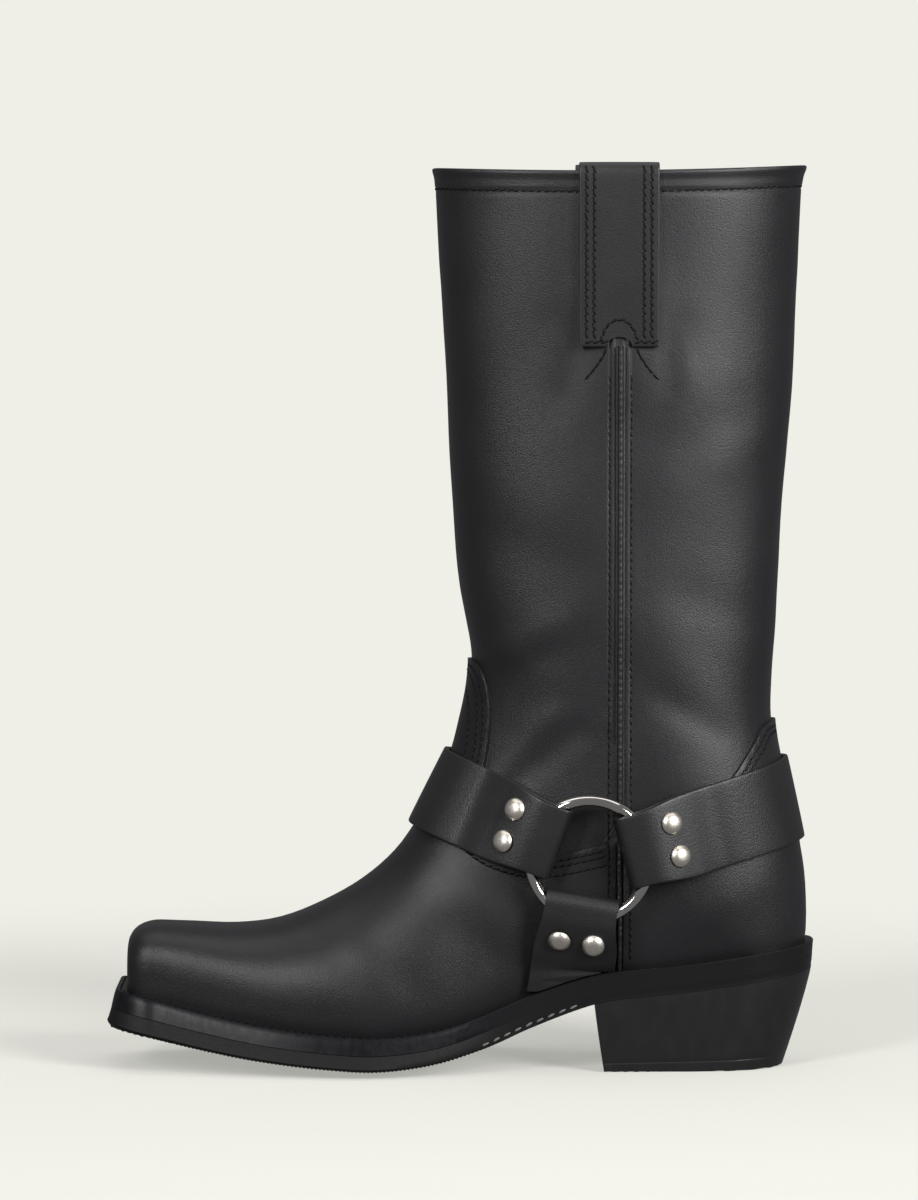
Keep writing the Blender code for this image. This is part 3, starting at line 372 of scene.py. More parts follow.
# One ray-cast tree over several pieces
def treeOf(*items):
    shape = bmesh.new()
    for item in items:
        shape.from_mesh(item.data)
    tree = BVHTree.FromBMesh(shape)
    shape.free()
    return tree


# Materials

def nodesOf(name):
    material = bpy.data.materials.new(name)
    material.use_nodes = True
    tree = material.node_tree
    return material, tree, tree.nodes["Principled BSDF"]


def add(tree, kind, **values):
    node = tree.nodes.new(kind)
    for key, value in values.items():
        if key in node.inputs:
            node.inputs[key].default_value = value
        else:
            setattr(node, key, value)
    return node


def noiseOn(tree, place, scale, detail, **more):
    node = add(tree, "ShaderNodeTexNoise", Scale=scale, Detail=detail, **more)
    tree.links.new(place, node.inputs["Vector"])
    return node


def toneOn(tree, factor, dark, light):
    node = add(tree, "ShaderNodeMix", data_type="RGBA")
    node.inputs["A"].default_value = (*dark, 1)
    node.inputs["B"].default_value = (*light, 1)
    tree.links.new(factor, node.inputs["Factor"])
    return node.outputs["Result"]


def rangeOn(tree, value, start, end, result=(0.0, 1.0), **more):
    node = add(tree, "ShaderNodeMapRange", **more)
    for key, number in zip(("From Min", "From Max", "To Min", "To Max"), (start, end, *result)):
        node.inputs[key].default_value = number
    tree.links.new(value, node.inputs["Value"])
    return node.outputs["Result"]


def reliefOn(tree, height, strength, distance, under=None, invert=False):
    node = add(tree, "ShaderNodeBump", Strength=strength, Distance=distance)
    node.invert = invert
    tree.links.new(height, node.inputs["Height"])
    if under:
        tree.links.new(under, node.inputs["Normal"])
    return node.outputs["Normal"]


# Grained leather: pebble cells, pores, soft mottling in tone and gloss
def leatherMaterial(name, look):
    material, tree, shader = nodesOf(name)
    link = tree.links.new
    place = add(tree, "ShaderNodeTexCoord").outputs["Object"]
    mixed = add(tree, "ShaderNodeVectorMath", operation="MULTIPLY_ADD")
    link(noiseOn(tree, place, 260.0, 2.0).outputs["Color"], mixed.inputs[0])
    mixed.inputs[1].default_value = (0.0009, 0.0009, 0.0009)
    link(place, mixed.inputs[2])
    cells = add(tree, "ShaderNodeTexVoronoi", feature="F1", Scale=look["grain"])
    link(mixed.outputs[0], cells.inputs["Vector"])
    fine = noiseOn(tree, place, look["grain"] * 2.4, 3.0).outputs["Fac"]
    broad = noiseOn(tree, place, 42.0, 4.0).outputs["Fac"]
    link(toneOn(tree, broad, look["dark"], look["light"]), shader.inputs["Base Color"])
    link(rangeOn(tree, broad, 0.0, 1.0, look["rough"]), shader.inputs["Roughness"])
    first = reliefOn(tree, cells.outputs["Distance"], look["relief"][0], 0.00025, invert=True)
    second = reliefOn(tree, fine, look["relief"][1], 0.0002, first)
    link(reliefOn(tree, broad, look["relief"][2], 0.0012, second), shader.inputs["Normal"])
    shader.inputs["Specular IOR Level"].default_value = look.get("specular", 0.5)
    return material


# Rubber, thread and metal: noise in tone, roughness and relief
def plainMaterial(name, look):
    material, tree, shader = nodesOf(name)
    link = tree.links.new
    place = add(tree, "ShaderNodeTexCoord").outputs["Object"]
    stretch = add(tree, "ShaderNodeMapping")
    stretch.inputs["Scale"].default_value = look.get("stretch", (1, 1, 1))
    link(place, stretch.inputs["Vector"])
    grain = noiseOn(tree, stretch.outputs["Vector"], look["grain"], 5.0, Roughness=0.6).outputs["Fac"]
    tone = toneOn(tree, grain, look["dark"], look["light"])
    dull = rangeOn(tree, grain, 0.3, 0.7, look["rough"])
    if "rear" in look:  # another tone and roughness behind the ball of the foot
        start, end, colour, roughness = look["rear"]
        axes = add(tree, "ShaderNodeSeparateXYZ")
        link(place, axes.inputs[0])
        behind = rangeOn(tree, axes.outputs["X"], start, end, interpolation_type="SMOOTHSTEP")
        toned = add(tree, "ShaderNodeMix", data_type="RGBA")
        link(behind, toned.inputs["Factor"])
        link(tone, toned.inputs["A"])
        toned.inputs["B"].default_value = (*colour, 1)
        tone = toned.outputs["Result"]
        dulled = add(tree, "ShaderNodeMix", data_type="FLOAT")
        link(behind, dulled.inputs["Factor"])
        link(dull, dulled.inputs["A"])
        dulled.inputs["B"].default_value = roughness
        dull = dulled.outputs["Result"]
    link(tone, shader.inputs["Base Color"])
    link(dull, shader.inputs["Roughness"])
    link(reliefOn(tree, grain, look["relief"], 0.0003), shader.inputs["Normal"])
    shader.inputs["Metallic"].default_value = look.get("metal", 0.0)
    shader.inputs["Specular IOR Level"].default_value = look.get("specular", 0.5)
    return material


upperLeather = leatherMaterial("upper_leather_look", {
    "grain": 1900.0, "dark": (0.0080, 0.0080, 0.0090), "light": (0.0130, 0.0130, 0.0145),
    "rough": (0.35, 0.43), "relief": (0.26, 0.34, 0.05)})
vampLeather = leatherMaterial("vamp_leather_look", {
    "grain": 1900.0, "dark": (0.0080, 0.0080, 0.0088), "light": (0.0125, 0.0125, 0.0138),
    "rough": (0.33, 0.41), "relief": (0.24, 0.32, 0.05), "specular": 0.36})
strapLeather = leatherMaterial("strap_leather_look", {
    "grain": 1400.0, "dark": (0.0080, 0.0080, 0.0088), "light": (0.0130, 0.0128, 0.0138),
    "rough": (0.36, 0.46), "relief": (0.24, 0.30, 0.07)})
liningLeather = leatherMaterial("lining_look", {
    "grain": 700.0, "dark": (0.050, 0.036, 0.026), "light": (0.085, 0.063, 0.045),
    "rough": (0.70, 0.85), "relief": (0.25, 0.3, 0.2)})
edgeGloss = plainMaterial("edge_gloss_look", {
    "grain": 420.0, "stretch": (1, 1, 0.7),
    "dark": (0.004, 0.004, 0.005), "light": (0.010, 0.010, 0.012),
    "rough": (0.29, 0.40), "relief": 0.14, "specular": 0.16,
    "rear": (-0.010, 0.035, (0.0100, 0.0100, 0.0108), 0.38)})
rubberLook = plainMaterial("rubber_look", {
    "grain": 900.0, "dark": (0.0066, 0.0064, 0.0062), "light": (0.0110, 0.0106, 0.0102),
    "rough": (0.48, 0.64), "relief": 0.12, "specular": 0.15,
    "rear": (-0.010, 0.035, (0.0100, 0.0100, 0.0108), 0.38)})
heelLook = plainMaterial("heel_look", {
    "grain": 160.0, "stretch": (1, 1, 0.6),
    "dark": (0.0095, 0.0095, 0.0100), "light": (0.0135, 0.0135, 0.0140),
    "rough": (0.34, 0.42), "relief": 0.03, "specular": 0.45})
threadLook = plainMaterial("thread_look", {
    "grain": 2600.0, "dark": (0.0022, 0.0022, 0.0026), "light": (0.0065, 0.0065, 0.0072),
    "rough": (0.42, 0.58), "relief": 0.4, "specular": 0.16})
# Near-black discs at the needle holes: painted shade of the holes' recesses
holeShadeLook = plainMaterial("needle_hole_painted_shade", {
    "grain": 2000.0, "dark": (0.001, 0.001, 0.001), "light": (0.002, 0.002, 0.002),
    "rough": (0.9, 1.0), "relief": 0.1, "specular": 0.1})
paleThread = plainMaterial("pale_thread_look", {
    "grain": 2600.0, "dark": (0.10, 0.098, 0.092), "light": (0.22, 0.215, 0.20),
    "rough": (0.5, 0.75), "relief": 0.5})
ringNickel = plainMaterial("ring_nickel_look", {
    "grain": 520.0, "dark": (0.70, 0.67, 0.62), "light": (0.82, 0.79, 0.74),
    "rough": (0.06, 0.10), "relief": 0.02, "metal": 1.0})
rivetNickel = plainMaterial("rivet_nickel_look", {
    "grain": 1500.0, "dark": (0.78, 0.72, 0.63), "light": (0.93, 0.87, 0.78),
    "rough": (0.30, 0.44), "relief": 0.08, "metal": 1.0})


def dress(item, material, nodes=()):
    for entry in (material if isinstance(material, (list, tuple)) else [material]):
        item.data.materials.append(entry)
    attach(item, "root")
    if nodes:
        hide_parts(*nodes)
    return item


# Upper: outer skin, rolled collar edge and lining as one shell
print("upper")


def upToCollar(rings):
    rows = len(rings)
    for i, ring in enumerate(rings[rows - 15:]):
        t = i / 14
        for p in ring:
            p.z += t * (collarAt(p.x) - boot["collar"])
    return rings


outerRings = [[wrinkled(p) for p in ring] for ring in upToCollar(formRings(0.0))]
innerRings = [[wrinkled(p, False) for p in ring] for ring in upToCollar(formRings(-boot["wall"]))]
rim = []
for rise, t in ((0.0006, 0.14), (0.0008, 0.5), (0.0006, 0.86)):
    rim.append([a.lerp(b, t) + Vector((0, 0, rise)) for a, b in zip(outerRings[-1], innerRings[-1])])
shape = bmesh.new()
loft(shape, outerRings + rim + innerRings[::-1], False)
outwardFaces(shape)
trimUnder(shape)
toFrame(shape)
upper = newObject("upper_shell", shape)
for face in upper.data.polygons:
    centre = face.center - shift
    inward = face.normal.dot(Vector((centre.x - skin["shaft"][0], centre.y - lineY, 0))) < 0
    face.material_index = 1 if inward and centre.z > 0.1 and centre.z < collarAt(centre.x) - 0.0005 else 0
smoothShade(upper, 50)
dress(upper, [upperLeather, liningLeather], ["upper"])


# Overlays: vamp with tongue, heel counter

def arcThrough(points, steps=6):
    numbered = [(float(i), xOf(x), z * boot["collar"]) for i, (x, z) in enumerate(points)]
    count = (len(points) - 1) * steps
    return [(curveAt(numbered, i / steps, 1), curveAt(numbered, i / steps, 2))
            for i in range(count + 1)]


seamHalf = 0.0013 + boot["gap"]


def vampOutline():
    edge = arcThrough(vampEdge)
    seam = boot["seamX"] - seamHalf
    edge = [(seam, edge[0][1])] + [e for e in edge if e[0] < seam]
    front = xOf(-0.1)
    return edge + [(xOf(0.36), edge[-1][1]), (front, edge[-1][1]), (front, -0.03), (seam, -0.03)]


def counterOutline():
    edge = [e for e in arcThrough(counterEdge) if e[0] > boot["seamX"] + seamHalf]
    seam = boot["seamX"] + seamHalf
    back = xOf(1.1)
    return [(seam, edge[0][1])] + edge + [(back, edge[-1][1]), (back, -0.03), (seam, -0.03)]


# Leather layer: the covered form's skin inside a side outline, its wall set inwards
def overlay(name, outline):
    shape = bmesh.new()
    cover = boot["gap"] + boot["layer"]
    loft(shape, [[wrinkled(p, False) for p in ring] for ring in formRings(cover, 4, 8)])
    outwardFaces(shape)
    bmesh.ops.triangulate(shape, faces=shape.faces[:])
    whole = BVHTree.FromBMesh(shape)
    layer = newObject(name, shape)
    shape = bmesh.new()
    face = shape.faces.new([shape.verts.new((x, -0.2, z)) for x, z in outline])
    pulled = bmesh.ops.extrude_face_region(shape, geom=[face])
    moved = [v for v in pulled["geom"] if isinstance(v, bmesh.types.BMVert)]
    bmesh.ops.translate(shape, verts=moved, vec=(0, 0.4, 0))
    outwardFaces(shape)
    pattern = newObject(name + "_pattern", shape)
    step = layer.modifiers.new("pattern", "BOOLEAN")
    step.operation, step.object, step.solver = "INTERSECT", pattern, "EXACT"
    applied(layer)
    bpy.data.objects.remove(pattern)
    shape = bmesh.new()
    shape.from_mesh(layer.data)
    cut = [f for f in shape.faces if whole.find_nearest(f.calc_center_median())[3] > 0.0004]
    bmesh.ops.delete(shape, geom=cut, context="FACES")
    trimUnder(shape)
    bmesh.ops.remove_doubles(shape, verts=shape.verts[:], dist=0.00002)
    toFrame(shape)
    shape.to_mesh(layer.data)
    shape.free()
    wall = layer.modifiers.new("wall", "SOLIDIFY")
    wall.thickness, wall.offset, wall.use_even_offset = boot["layer"], -1.0, False
    edge = layer.modifiers.new("edge", "BEVEL")
    edge.width, edge.segments, edge.limit_method = 0.00035, 2, "ANGLE"
    edge.angle_limit = math.radians(55)
    applied(layer)
    smoothShade(layer, 45)
    return layer


print("vamp and counter")
vamp = dress(overlay("vamp_layer", vampOutline()), vampLeather, ["vamp"])
counter = dress(overlay("counter_layer", counterOutline()), upperLeather, ["heel_counter"])
leatherTree = treeOf(upper, vamp, counter)


# Paths on the surface, seen from the side, and what is sewn along them

def hitFromSide(tree, x, z, side):
    found = tree.ray_cast(Vector((x, side * 0.2, z)), Vector((0, -side, 0)))
    return (found[0], found[1]) if found[0] else None


# Places in the side view, laid on the leather, with normals
def sidePath(tree, places, side):
    path = []
    for x, z in places:
        found = hitFromSide(tree, x + shift.x, z, side)
        if found:
            path.append(found)
    return path


# Points, normals and directions at even steps along a path
def evenSteps(path, pitch):
    result, walked, target = [], 0.0, 0.5 * pitch
    for (a, na), (b, nb) in zip(path, path[1:]):
        length = (b - a).length
        while length > 1e-9 and target <= walked + length:
            t = (target - walked) / length
            result.append((a.lerp(b, t), na.lerp(nb, t).normalized(), (b - a).normalized()))
            target += pitch
        walked += length
    return result


# Slanted stitches, each followed by a small near-black disc: painted shade standing in for the needle hole
def sewnRows(name, paths, look, material):
    whole = bmesh.new()

    def bead(shape, segments, rings, spot, turn, size, kind):
        matrix = Matrix.LocRotScale(spot, turn, Vector(size)) @ Matrix.Rotation(math.pi / 2, 4, "Y")
        made = bmesh.ops.create_uvsphere(shape, u_segments=segments, v_segments=rings, radius=1.0,
                                         matrix=matrix)
        for face in {f for v in made["verts"] for f in v.link_faces}:
            face.material_index, face.smooth = kind, True

    for path in paths:
        row = bmesh.new()  # each row on its own, which keeps the operator quick
        for point, normal, along in evenSteps(path, look["pitch"]):
            across = normal.cross(along).normalized()
            turn = Matrix((across.cross(normal), across, normal)).transposed()
            turn = turn @ Matrix.Rotation(look.get("slant", 0.2) + random.uniform(-0.07, 0.07), 3, "Z")
            bead(row, 8, 5, point, turn, (0.5 * look["long"], 0.5 * look["wide"], look["high"]), 0)
            # a flat near-black disc where the thread enters the leather: painted shade of the needle hole
            if look.get("holeShade", True):
                spot = point + turn @ Vector((0.5 * look["pitch"], 0, 0))
                bead(row, 6, 4, spot, turn, (0.16 * look["pitch"], 0.30 * look["wide"], 0.00010), 1)
        data = bpy.data.meshes.new("row")
        row.to_mesh(data)
        row.free()
        whole.from_mesh(data)
        bpy.data.meshes.remove(data)
    return dress(newObject(name, whole), [material, holeShadeLook])


def offsetPlaces(places, distance):
    moved = []
    for i, (x, z) in enumerate(places):
        a, b = places[max(i - 1, 0)], places[min(i + 1, len(places) - 1)]
        dx, dz = b[0] - a[0], b[1] - a[1]
        size = math.hypot(dx, dz)
        moved.append((x - dz / size * distance, z + dx / size * distance))
    return moved


print("stitches")
stitch = {"pitch": 0.0031, "long": 0.0025, "wide": 0.00095, "high": 0.00036}
rows = []
vampLine = arcThrough(vampEdge, 14)
counterLine = arcThrough(counterEdge, 14)
for side in (-1, 1):
    for inset in (0.0022, 0.0045, 0.0080):
        line = [p for p in offsetPlaces(vampLine, inset) if p[0] < boot["seamX"] - 0.004]
        rows.append(sidePath(leatherTree, line, side))
        line = [p for p in offsetPlaces(counterLine, -inset) if p[0] > boot["seamX"] + 0.004]
        if inset < 0.005:
            rows.append(sidePath(leatherTree, line, side))
    for distance in (-0.0043, 0.0043):
        low = soleLine(boot["seamX"]) + 0.004
        line = [(boot["seamX"] + distance, low + (boot["seamTop"] - 0.012 - low) * k / 300)
                for k in range(301)]
        rows.append(sidePath(leatherTree, line, side))
sewnRows("upper_stitches", rows, stitch, threadLook)

collarPath = []
for k in range(721):
    angle = 2 * math.pi * k / 720
    heading = Vector((math.cos(angle) * 0.5, math.sin(angle) * 0.25, 0)).normalized()
    centre = Vector((0.0645, lineY, 0)) + shift
    z = boot["collar"] - 0.0086
    for _ in range(2):
        found = leatherTree.ray_cast(centre + heading * 0.3 + Vector((0, 0, z)), -heading)
        z = collarAt(found[0].x - shift.x) - skin["collarRow"]
    collarPath.append((found[0], found[1]))
sewnRows("collar_stitches", [collarPath], stitch, threadLook)


# Side piping: a beaded cord of leather in each side seam
print("piping")
piping = {"width": 0.00118, "height": 0.00125, "stand": 0.0009, "bead": 0.0029, "steps": 420, "round": 10}
for word, side in bothSides:
    base = treeOf(upper)
    low, high = soleLine(boot["seamX"]) - 0.001, boot["seamTop"] - 0.0006
    rings = []
    for k in range(piping["steps"] + 1):
        z = low + (high - low) * k / piping["steps"]
        point, normal = hitFromSide(base, boot["seamX"] + shift.x, z, side)
        normal = Vector((0, normal.y, normal.z)).normalized()
        bead = 1 + 0.05 * math.sin(2 * math.pi * z / piping["bead"])
        turns = [2 * math.pi * n / piping["round"] for n in range(piping["round"])]
        rings.append([point + Vector((piping["width"] * bead * math.cos(turn), 0, 0))
                      + normal * (piping["stand"] + piping["height"] * bead * math.sin(turn))
                      for turn in turns])
    shape = bmesh.new()
    loft(shape, rings)
    outwardFaces(shape)
    cord = newObject(f"piping_{word}", shape)
    smoothShade(cord, 60)
    dress(cord, upperLeather, [f"side_piping_{word}"])


# Soles
print("soles")
shape = bmesh.new()
loft(shape, formRings(boot["gap"] + boot["layer"]))
coveredForm = BVHTree.FromBMesh(shape)
shape.free()


# Where the covered upper meets the sole: pairs of points, inner and outer, from toe to heel
def featherLine(sides, toe, heel):
    toeX = xOf(lastRows[0][0]) + boot["toeCorner"]
    heelX = xOf(1.0) - 0.45 * boot["ball"]

    def cast(x, direction):
        level = soleLine(x + direction.x * 0.02) + 0.0015
        hit = coveredForm.ray_cast(Vector((x, lineY, level)) + direction * 0.3, -direction)[0]
        return Vector((hit.x, hit.y))

    pairs = []
    for k in range(toe):
        angle = math.radians(2 + 82 * k / (toe - 1))
        pairs.append([cast(toeX, Vector((-math.cos(angle), s * math.sin(angle), 0))) for s in (-1, 1)])
    for k in range(sides + 1):
        pairs.append([cast(toeX + (heelX - toeX) * k / sides, Vector((0, s, 0))) for s in (-1, 1)])
    for k in range(1, heel + 1):
        angle = math.radians(88 * k / heel)
        pairs.append([cast(heelX, Vector((math.sin(angle), s * math.cos(angle), 0))) for s in (-1, 1)])
    return pairs


# The feather line moved out to a layer's edge; small extras fade out where the sole's side is flush
def grown(pairs, depth, extra=0.0):
    result = []
    for i, pair in enumerate(pairs):
        before, after = pairs[max(i - 2, 0)], pairs[min(i + 2, len(pairs) - 1)]
        moved = []
        for side, sign in ((0, -1), (1, 1)):
            tangent = (after[side] - before[side]).normalized()
            if i == 0:
                tangent = Vector((0, sign))
            if i == len(pairs) - 1:
                tangent = Vector((0, -sign))
            outward = Vector((-tangent.y, tangent.x)) * sign
            share = shareOf(pair[side].x)
            flush = smooth(0.46, 0.58, share) if depth > 0 and abs(extra) < 0.001 else 0
            margin = boot["margin"] * curveAt(soleRows, share, 4 + side)
            lean = depth * boot["flare"] * (1 - boot["tuck"] * smooth(0.30, 0.66, share))
            moved.append(pair[side] + outward * (margin + lean + extra * (1 - flush)))
        result.append(moved)
    return result


def layerTop(x, depth):
    return soleLine(x) - boot["gap"] - depth * curveAt(soleRows, shareOf(x), 3)


fullDepth = boot["welt"] + boot["midsole"] + boot["outsole"]
outDepth = boot["welt"] + boot["midsole"]


# At each station the profile runs from the top's middle down round the edge
def soleLayer(name, pairs, profile, bottomAt=None):
    lines = [grown(pairs, depth, extra) for depth, extra, _ in profile]
    rings = []
    for i in range(len(pairs)):
        near, far = [[Vector((line[i][side].x, line[i][side].y, height(line[i][side].x)))
                      for line, (_, _, height) in zip(lines, profile)] for side in (0, 1)]
        middle = []
        if bottomAt:
            near[-1].z, far[-1].z = bottomAt(near[-1].x, 0.0), bottomAt(far[-1].x, 1.0)
            for k in range(1, 12):
                p = near[-1].lerp(far[-1], k / 12)
                p.z = bottomAt(p.x, k / 12)
                middle.append(p)
        rings.append(near + middle + far[::-1])
    shape = bmesh.new()
    rows = loft(shape, rings, False)
    deep = len(profile)
    for row in (rows[0], rows[-1]):  # toe and heel closed row by row
        left, right = row[:deep], row[:-deep - 1:-1]
        for n in range(deep - 2):
            shape.faces.new((left[n], left[n + 1], right[n + 1], right[n]))
        shape.faces.new(row[deep - 2:len(row) - deep + 2])
    outwardFaces(shape)
    toFrame(shape)
    item = newObject(name, shape)
    smoothShade(item, 38)
    return item


pairs = featherLine(150, 26, 30)


def at(depth, drop=0.0):
    return lambda x: layerTop(x, depth) - drop


edgeDepth = outDepth / fullDepth
edgeProfile = [
    (0.0, -0.0070, at(0.0)), (0.0, -0.0009, at(0.0)), (0.0, -0.0003, at(0.0, 0.00010)),
    (0.0, 0.0000, at(0.0, 0.00045)), (0.33 * edgeDepth, 0.00010, at(0.33 * outDepth)),
    (0.66 * edgeDepth, 0.00012, at(0.66 * outDepth)), (edgeDepth, 0.00004, at(outDepth, -0.0004)),
    (edgeDepth, -0.00012, at(outDepth, -0.00022)), (edgeDepth, -0.0080, at(outDepth, -0.0002))]
edge = soleLayer("welt_and_midsole", pairs, edgeProfile)
dress(edge, edgeGloss, ["welt", "midsole"])


tread = {"pitch": 0.0016, "deep": 0.00055, "heelDeep": 0.00045, "end": 0.56}


def teeth(x):
    return abs(((x / tread["pitch"]) % 1.0) * 2 - 1)


def treadAt(x, share):
    place = shareOf(x)
    crown = (boot["crown"] + boot["flat"]) * (1 - smooth(0.56, 0.70, place))
    bulge = 1 - max(0.0, 1.5 * abs(2 * share - 1) - 0.5) ** 1.6
    ribs = tread["deep"] * teeth(x) * (1 - smooth(tread["end"] - 0.06, tread["end"], place))
    return max(layerTop(x, fullDepth) + boot["gap"] - crown * bulge, 0.0) + ribs


finePairs = featherLine(560, 60, 60)
soleProfile = [
    (edgeDepth, -0.0060, at(outDepth, -0.00015)), (edgeDepth, -0.00012, at(outDepth, -0.00015)),
    (edgeDepth, 0.00003, at(outDepth, 0.0001)),
    (0.5 * (edgeDepth + 1), 0.00022, at(0.5 * (outDepth + fullDepth))),
    (1.0, 0.0001, at(fullDepth, -0.0018)), (1.0, -0.0002, at(fullDepth, -0.0010)),
    (1.0, -0.0009, at(fullDepth))]
outsole = soleLayer("outsole_rubber", finePairs, soleProfile, treadAt)
dress(outsole, rubberLook, ["outsole"])

# Heel block: outlines stacked from the floor up
print("heel")
heelSize = {"breast": 0.0545, "lean": 0.0036, "backTaper": 0.0116, "sideTaper": 0.0040, "inset": 0.0002,
            "steps": 14}
edgeLine = grown(pairs, 1.0, -heelSize["inset"])
behind = [p for p in edgeLine if min(p[0].x, p[1].x) > heelSize["breast"] + 0.001]
before = [p for p in edgeLine if min(p[0].x, p[1].x) <= heelSize["breast"] + 0.001][-1]
share = (heelSize["breast"] - before[0].x) / (behind[0][0].x - before[0].x)
stations = [[a.lerp(b, share) for a, b in zip(before, behind[0])], *behind]
backX = max(stations[-1][0].x, stations[-1][1].x)
outline = [p[0] for p in stations] + [p[1] for p in stations[::-1]]
levels = [(0.0, 0.0003), (0.012, 0.0), (0.10, 0.0), (0.118, 0.0), (0.125, 0.00010)]
levels += [(0.135 + 0.865 * k / heelSize["steps"], 0.0) for k in range(heelSize["steps"] + 1)]
rings = []
for rise, inset in levels:
    curve = (1 - rise) ** 1.15
    narrow = 1 - (curve * heelSize["sideTaper"] + inset) / (0.32 * boot["ball"])
    ring = []
    for p in outline:
        along = (p.x - heelSize["breast"]) / (backX - heelSize["breast"])
        x = p.x + curve * (heelSize["lean"] * (1 - along) - heelSize["backTaper"] * along)
        z = rise * (layerTop(p.x, fullDepth) + 0.0002) + (tread["heelDeep"] * teeth(x) if rise == 0 else 0)
        ring.append(Vector((x - inset * along, lineY + (p.y - lineY) * narrow, z)))
    rings.append(ring)
shape = bmesh.new()
loft(shape, rings)
outwardFaces(shape)
toFrame(shape)
heel = newObject("heel_block", shape)
smoothShade(heel, 35)
dress(heel, heelLook, ["heel"])


# Stitches on the welt's top, and pale ones in the tread's channel under the waist
weltStitch = {"pitch": 0.0033, "long": 0.0026, "wide": 0.0010, "high": 0.00030, "slant": 0.0,
              "inset": 0.0018, "end": 0.50}
channelStitch = {"pitch": 0.0048, "long": 0.0034, "wide": 0.0010, "high": 0.00035, "slant": 0.25,
                 "holeShade": False, "from": 0.525, "to": 0.675}
weltRows, channelRows = [], []
for side, sign in ((0, -1), (1, 1)):
    weltRows.append([(Vector((p[side].x, p[side].y, layerTop(p[side].x, 0.0))) + shift, Vector((0, 0, 1)))
                     for p in grown(pairs, 0.0, -weltStitch["inset"])
                     if 0 < shareOf(p[side].x) < weltStitch["end"]])
    way = Vector((0, sign, -0.3)).normalized()
    channelRows.append([(Vector((p[side].x, p[side].y, layerTop(p[side].x, fullDepth) + 0.0021))
                         + shift + way * 0.0002, way)
                        for p in grown(pairs, 1.0, 0.0001)
                        if channelStitch["from"] < shareOf(p[side].x) < channelStitch["to"]])
sewnRows("welt_stitches", weltRows, weltStitch, threadLook)
sewnRows("channel_stitches", channelRows, channelStitch, paleThread)


# A copy of a CAD node's mesh, with its flat quads put back together
def fromCad(node):
    shape = bmesh.new()
    shape.from_mesh(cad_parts[node].data)
    bmesh.ops.remove_doubles(shape, verts=shape.verts[:], dist=0.000005)
    bmesh.ops.join_triangles(shape, faces=shape.faces[:], angle_face_threshold=math.radians(30),
                             angle_shape_threshold=math.radians(70))
    return shape


insole = newObject("insole_cover", fromCad("insole"))
soft = insole.modifiers.new("edge", "BEVEL")
soft.width, soft.segments, soft.limit_method = 0.0006, 2, "ANGLE"
soft.angle_limit = math.radians(60)
applied(insole)
smoothShade(insole, 50)
dress(insole, liningLeather, ["insole"])


# Straps of the harness
print("straps")
strapSize = {"rounding": 0.0006, "pullRounding": 0.0005, "edgeAngle": 62}


def roundedFromCad(node, rounding):
    shape = fromCad(node)
    long = [e for e in shape.edges if len(e.link_faces) == 2
            and e.calc_face_angle(0) > math.radians(strapSize["edgeAngle"])]
    bmesh.ops.bevel(shape, geom=long, affect="EDGES", offset=rounding, segments=2, profile=0.5,
                    material=-1, clamp_overlap=True)
    return shape


for node in ("front_strap", "rear_strap", "down_strap_inner", "down_strap_outer"):
    item = newObject(node + "_leather", roundedFromCad(node, strapSize["rounding"]))
    finer = item.modifiers.new("finer", "SUBSURF")
    finer.levels = finer.render_levels = 2
    finer.boundary_smooth = "PRESERVE_CORNERS"
    applied(item)
    smoothShade(item, 60)
    dress(item, strapLeather, [node])


# Rings and rivets, placed by their CAD nodes
print("metal")


# Centre and thinnest direction of a flat, round CAD node
def nodeAxes(node):
    points = [v.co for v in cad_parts[node].data.vertices]
    centre = sum(points, Vector()) / len(points)
    best, normal = None, None
    for guess in range(3):
        v = Vector([1.0 if k == guess else 0.1 for k in range(3)])
        for _ in range(60):
            total = Vector()
            for p in points:
                d = p - centre
                total += d * d.dot(v)
            v = (v - total / sum((p - centre).length_squared for p in points)).normalized()
        spreadAlong = sum((p - centre).dot(v) ** 2 for p in points)
        if best is None or spreadAlong < best:
            best, normal = spreadAlong, v.copy()
    return centre, normal, points


def aimed(normal):
    return normal.to_track_quat("Z", "Y").to_matrix().to_4x4()


ringSize = {"wire": 0.0022, "round": 20, "steps": 96}
for word in ("inner", "outer"):
    centre, normal, points = nodeAxes("ring_" + word)
    reach = max(((p - centre) - normal * (p - centre).dot(normal)).length for p in points)
    shape = bmesh.new()
    made = bmesh.ops.create_circle(shape, segments=ringSize["round"], radius=ringSize["wire"],
                                   matrix=Matrix.Translation((reach - ringSize["wire"], 0, 0))
                                   @ Matrix.Rotation(math.pi / 2, 4, "X"))
    edges = list({e for v in made["verts"] for e in v.link_edges})
    bmesh.ops.spin(shape, geom=made["verts"] + edges, cent=(0, 0, 0), axis=(0, 0, 1),
                   angle=2 * math.pi, steps=ringSize["steps"], use_merge=True)
    bmesh.ops.remove_doubles(shape, verts=shape.verts[:], dist=0.00001)
    for v in shape.verts:  # butt joint of the wire, hidden under the front strap
        turn = math.atan2(v.co.y, v.co.x)
        v.co *= 1 - 0.002 * bump(abs(turn), math.pi, 0.02)
    outwardFaces(shape)
    matrix = aimed(normal)
    matrix.translation = centre
    bmesh.ops.transform(shape, matrix=matrix, verts=shape.verts[:])
    ring = newObject("ring_" + word + "_nickel", shape)
    smoothShade(ring, 60)
    dress(ring, ringNickel, ["ring_" + word])

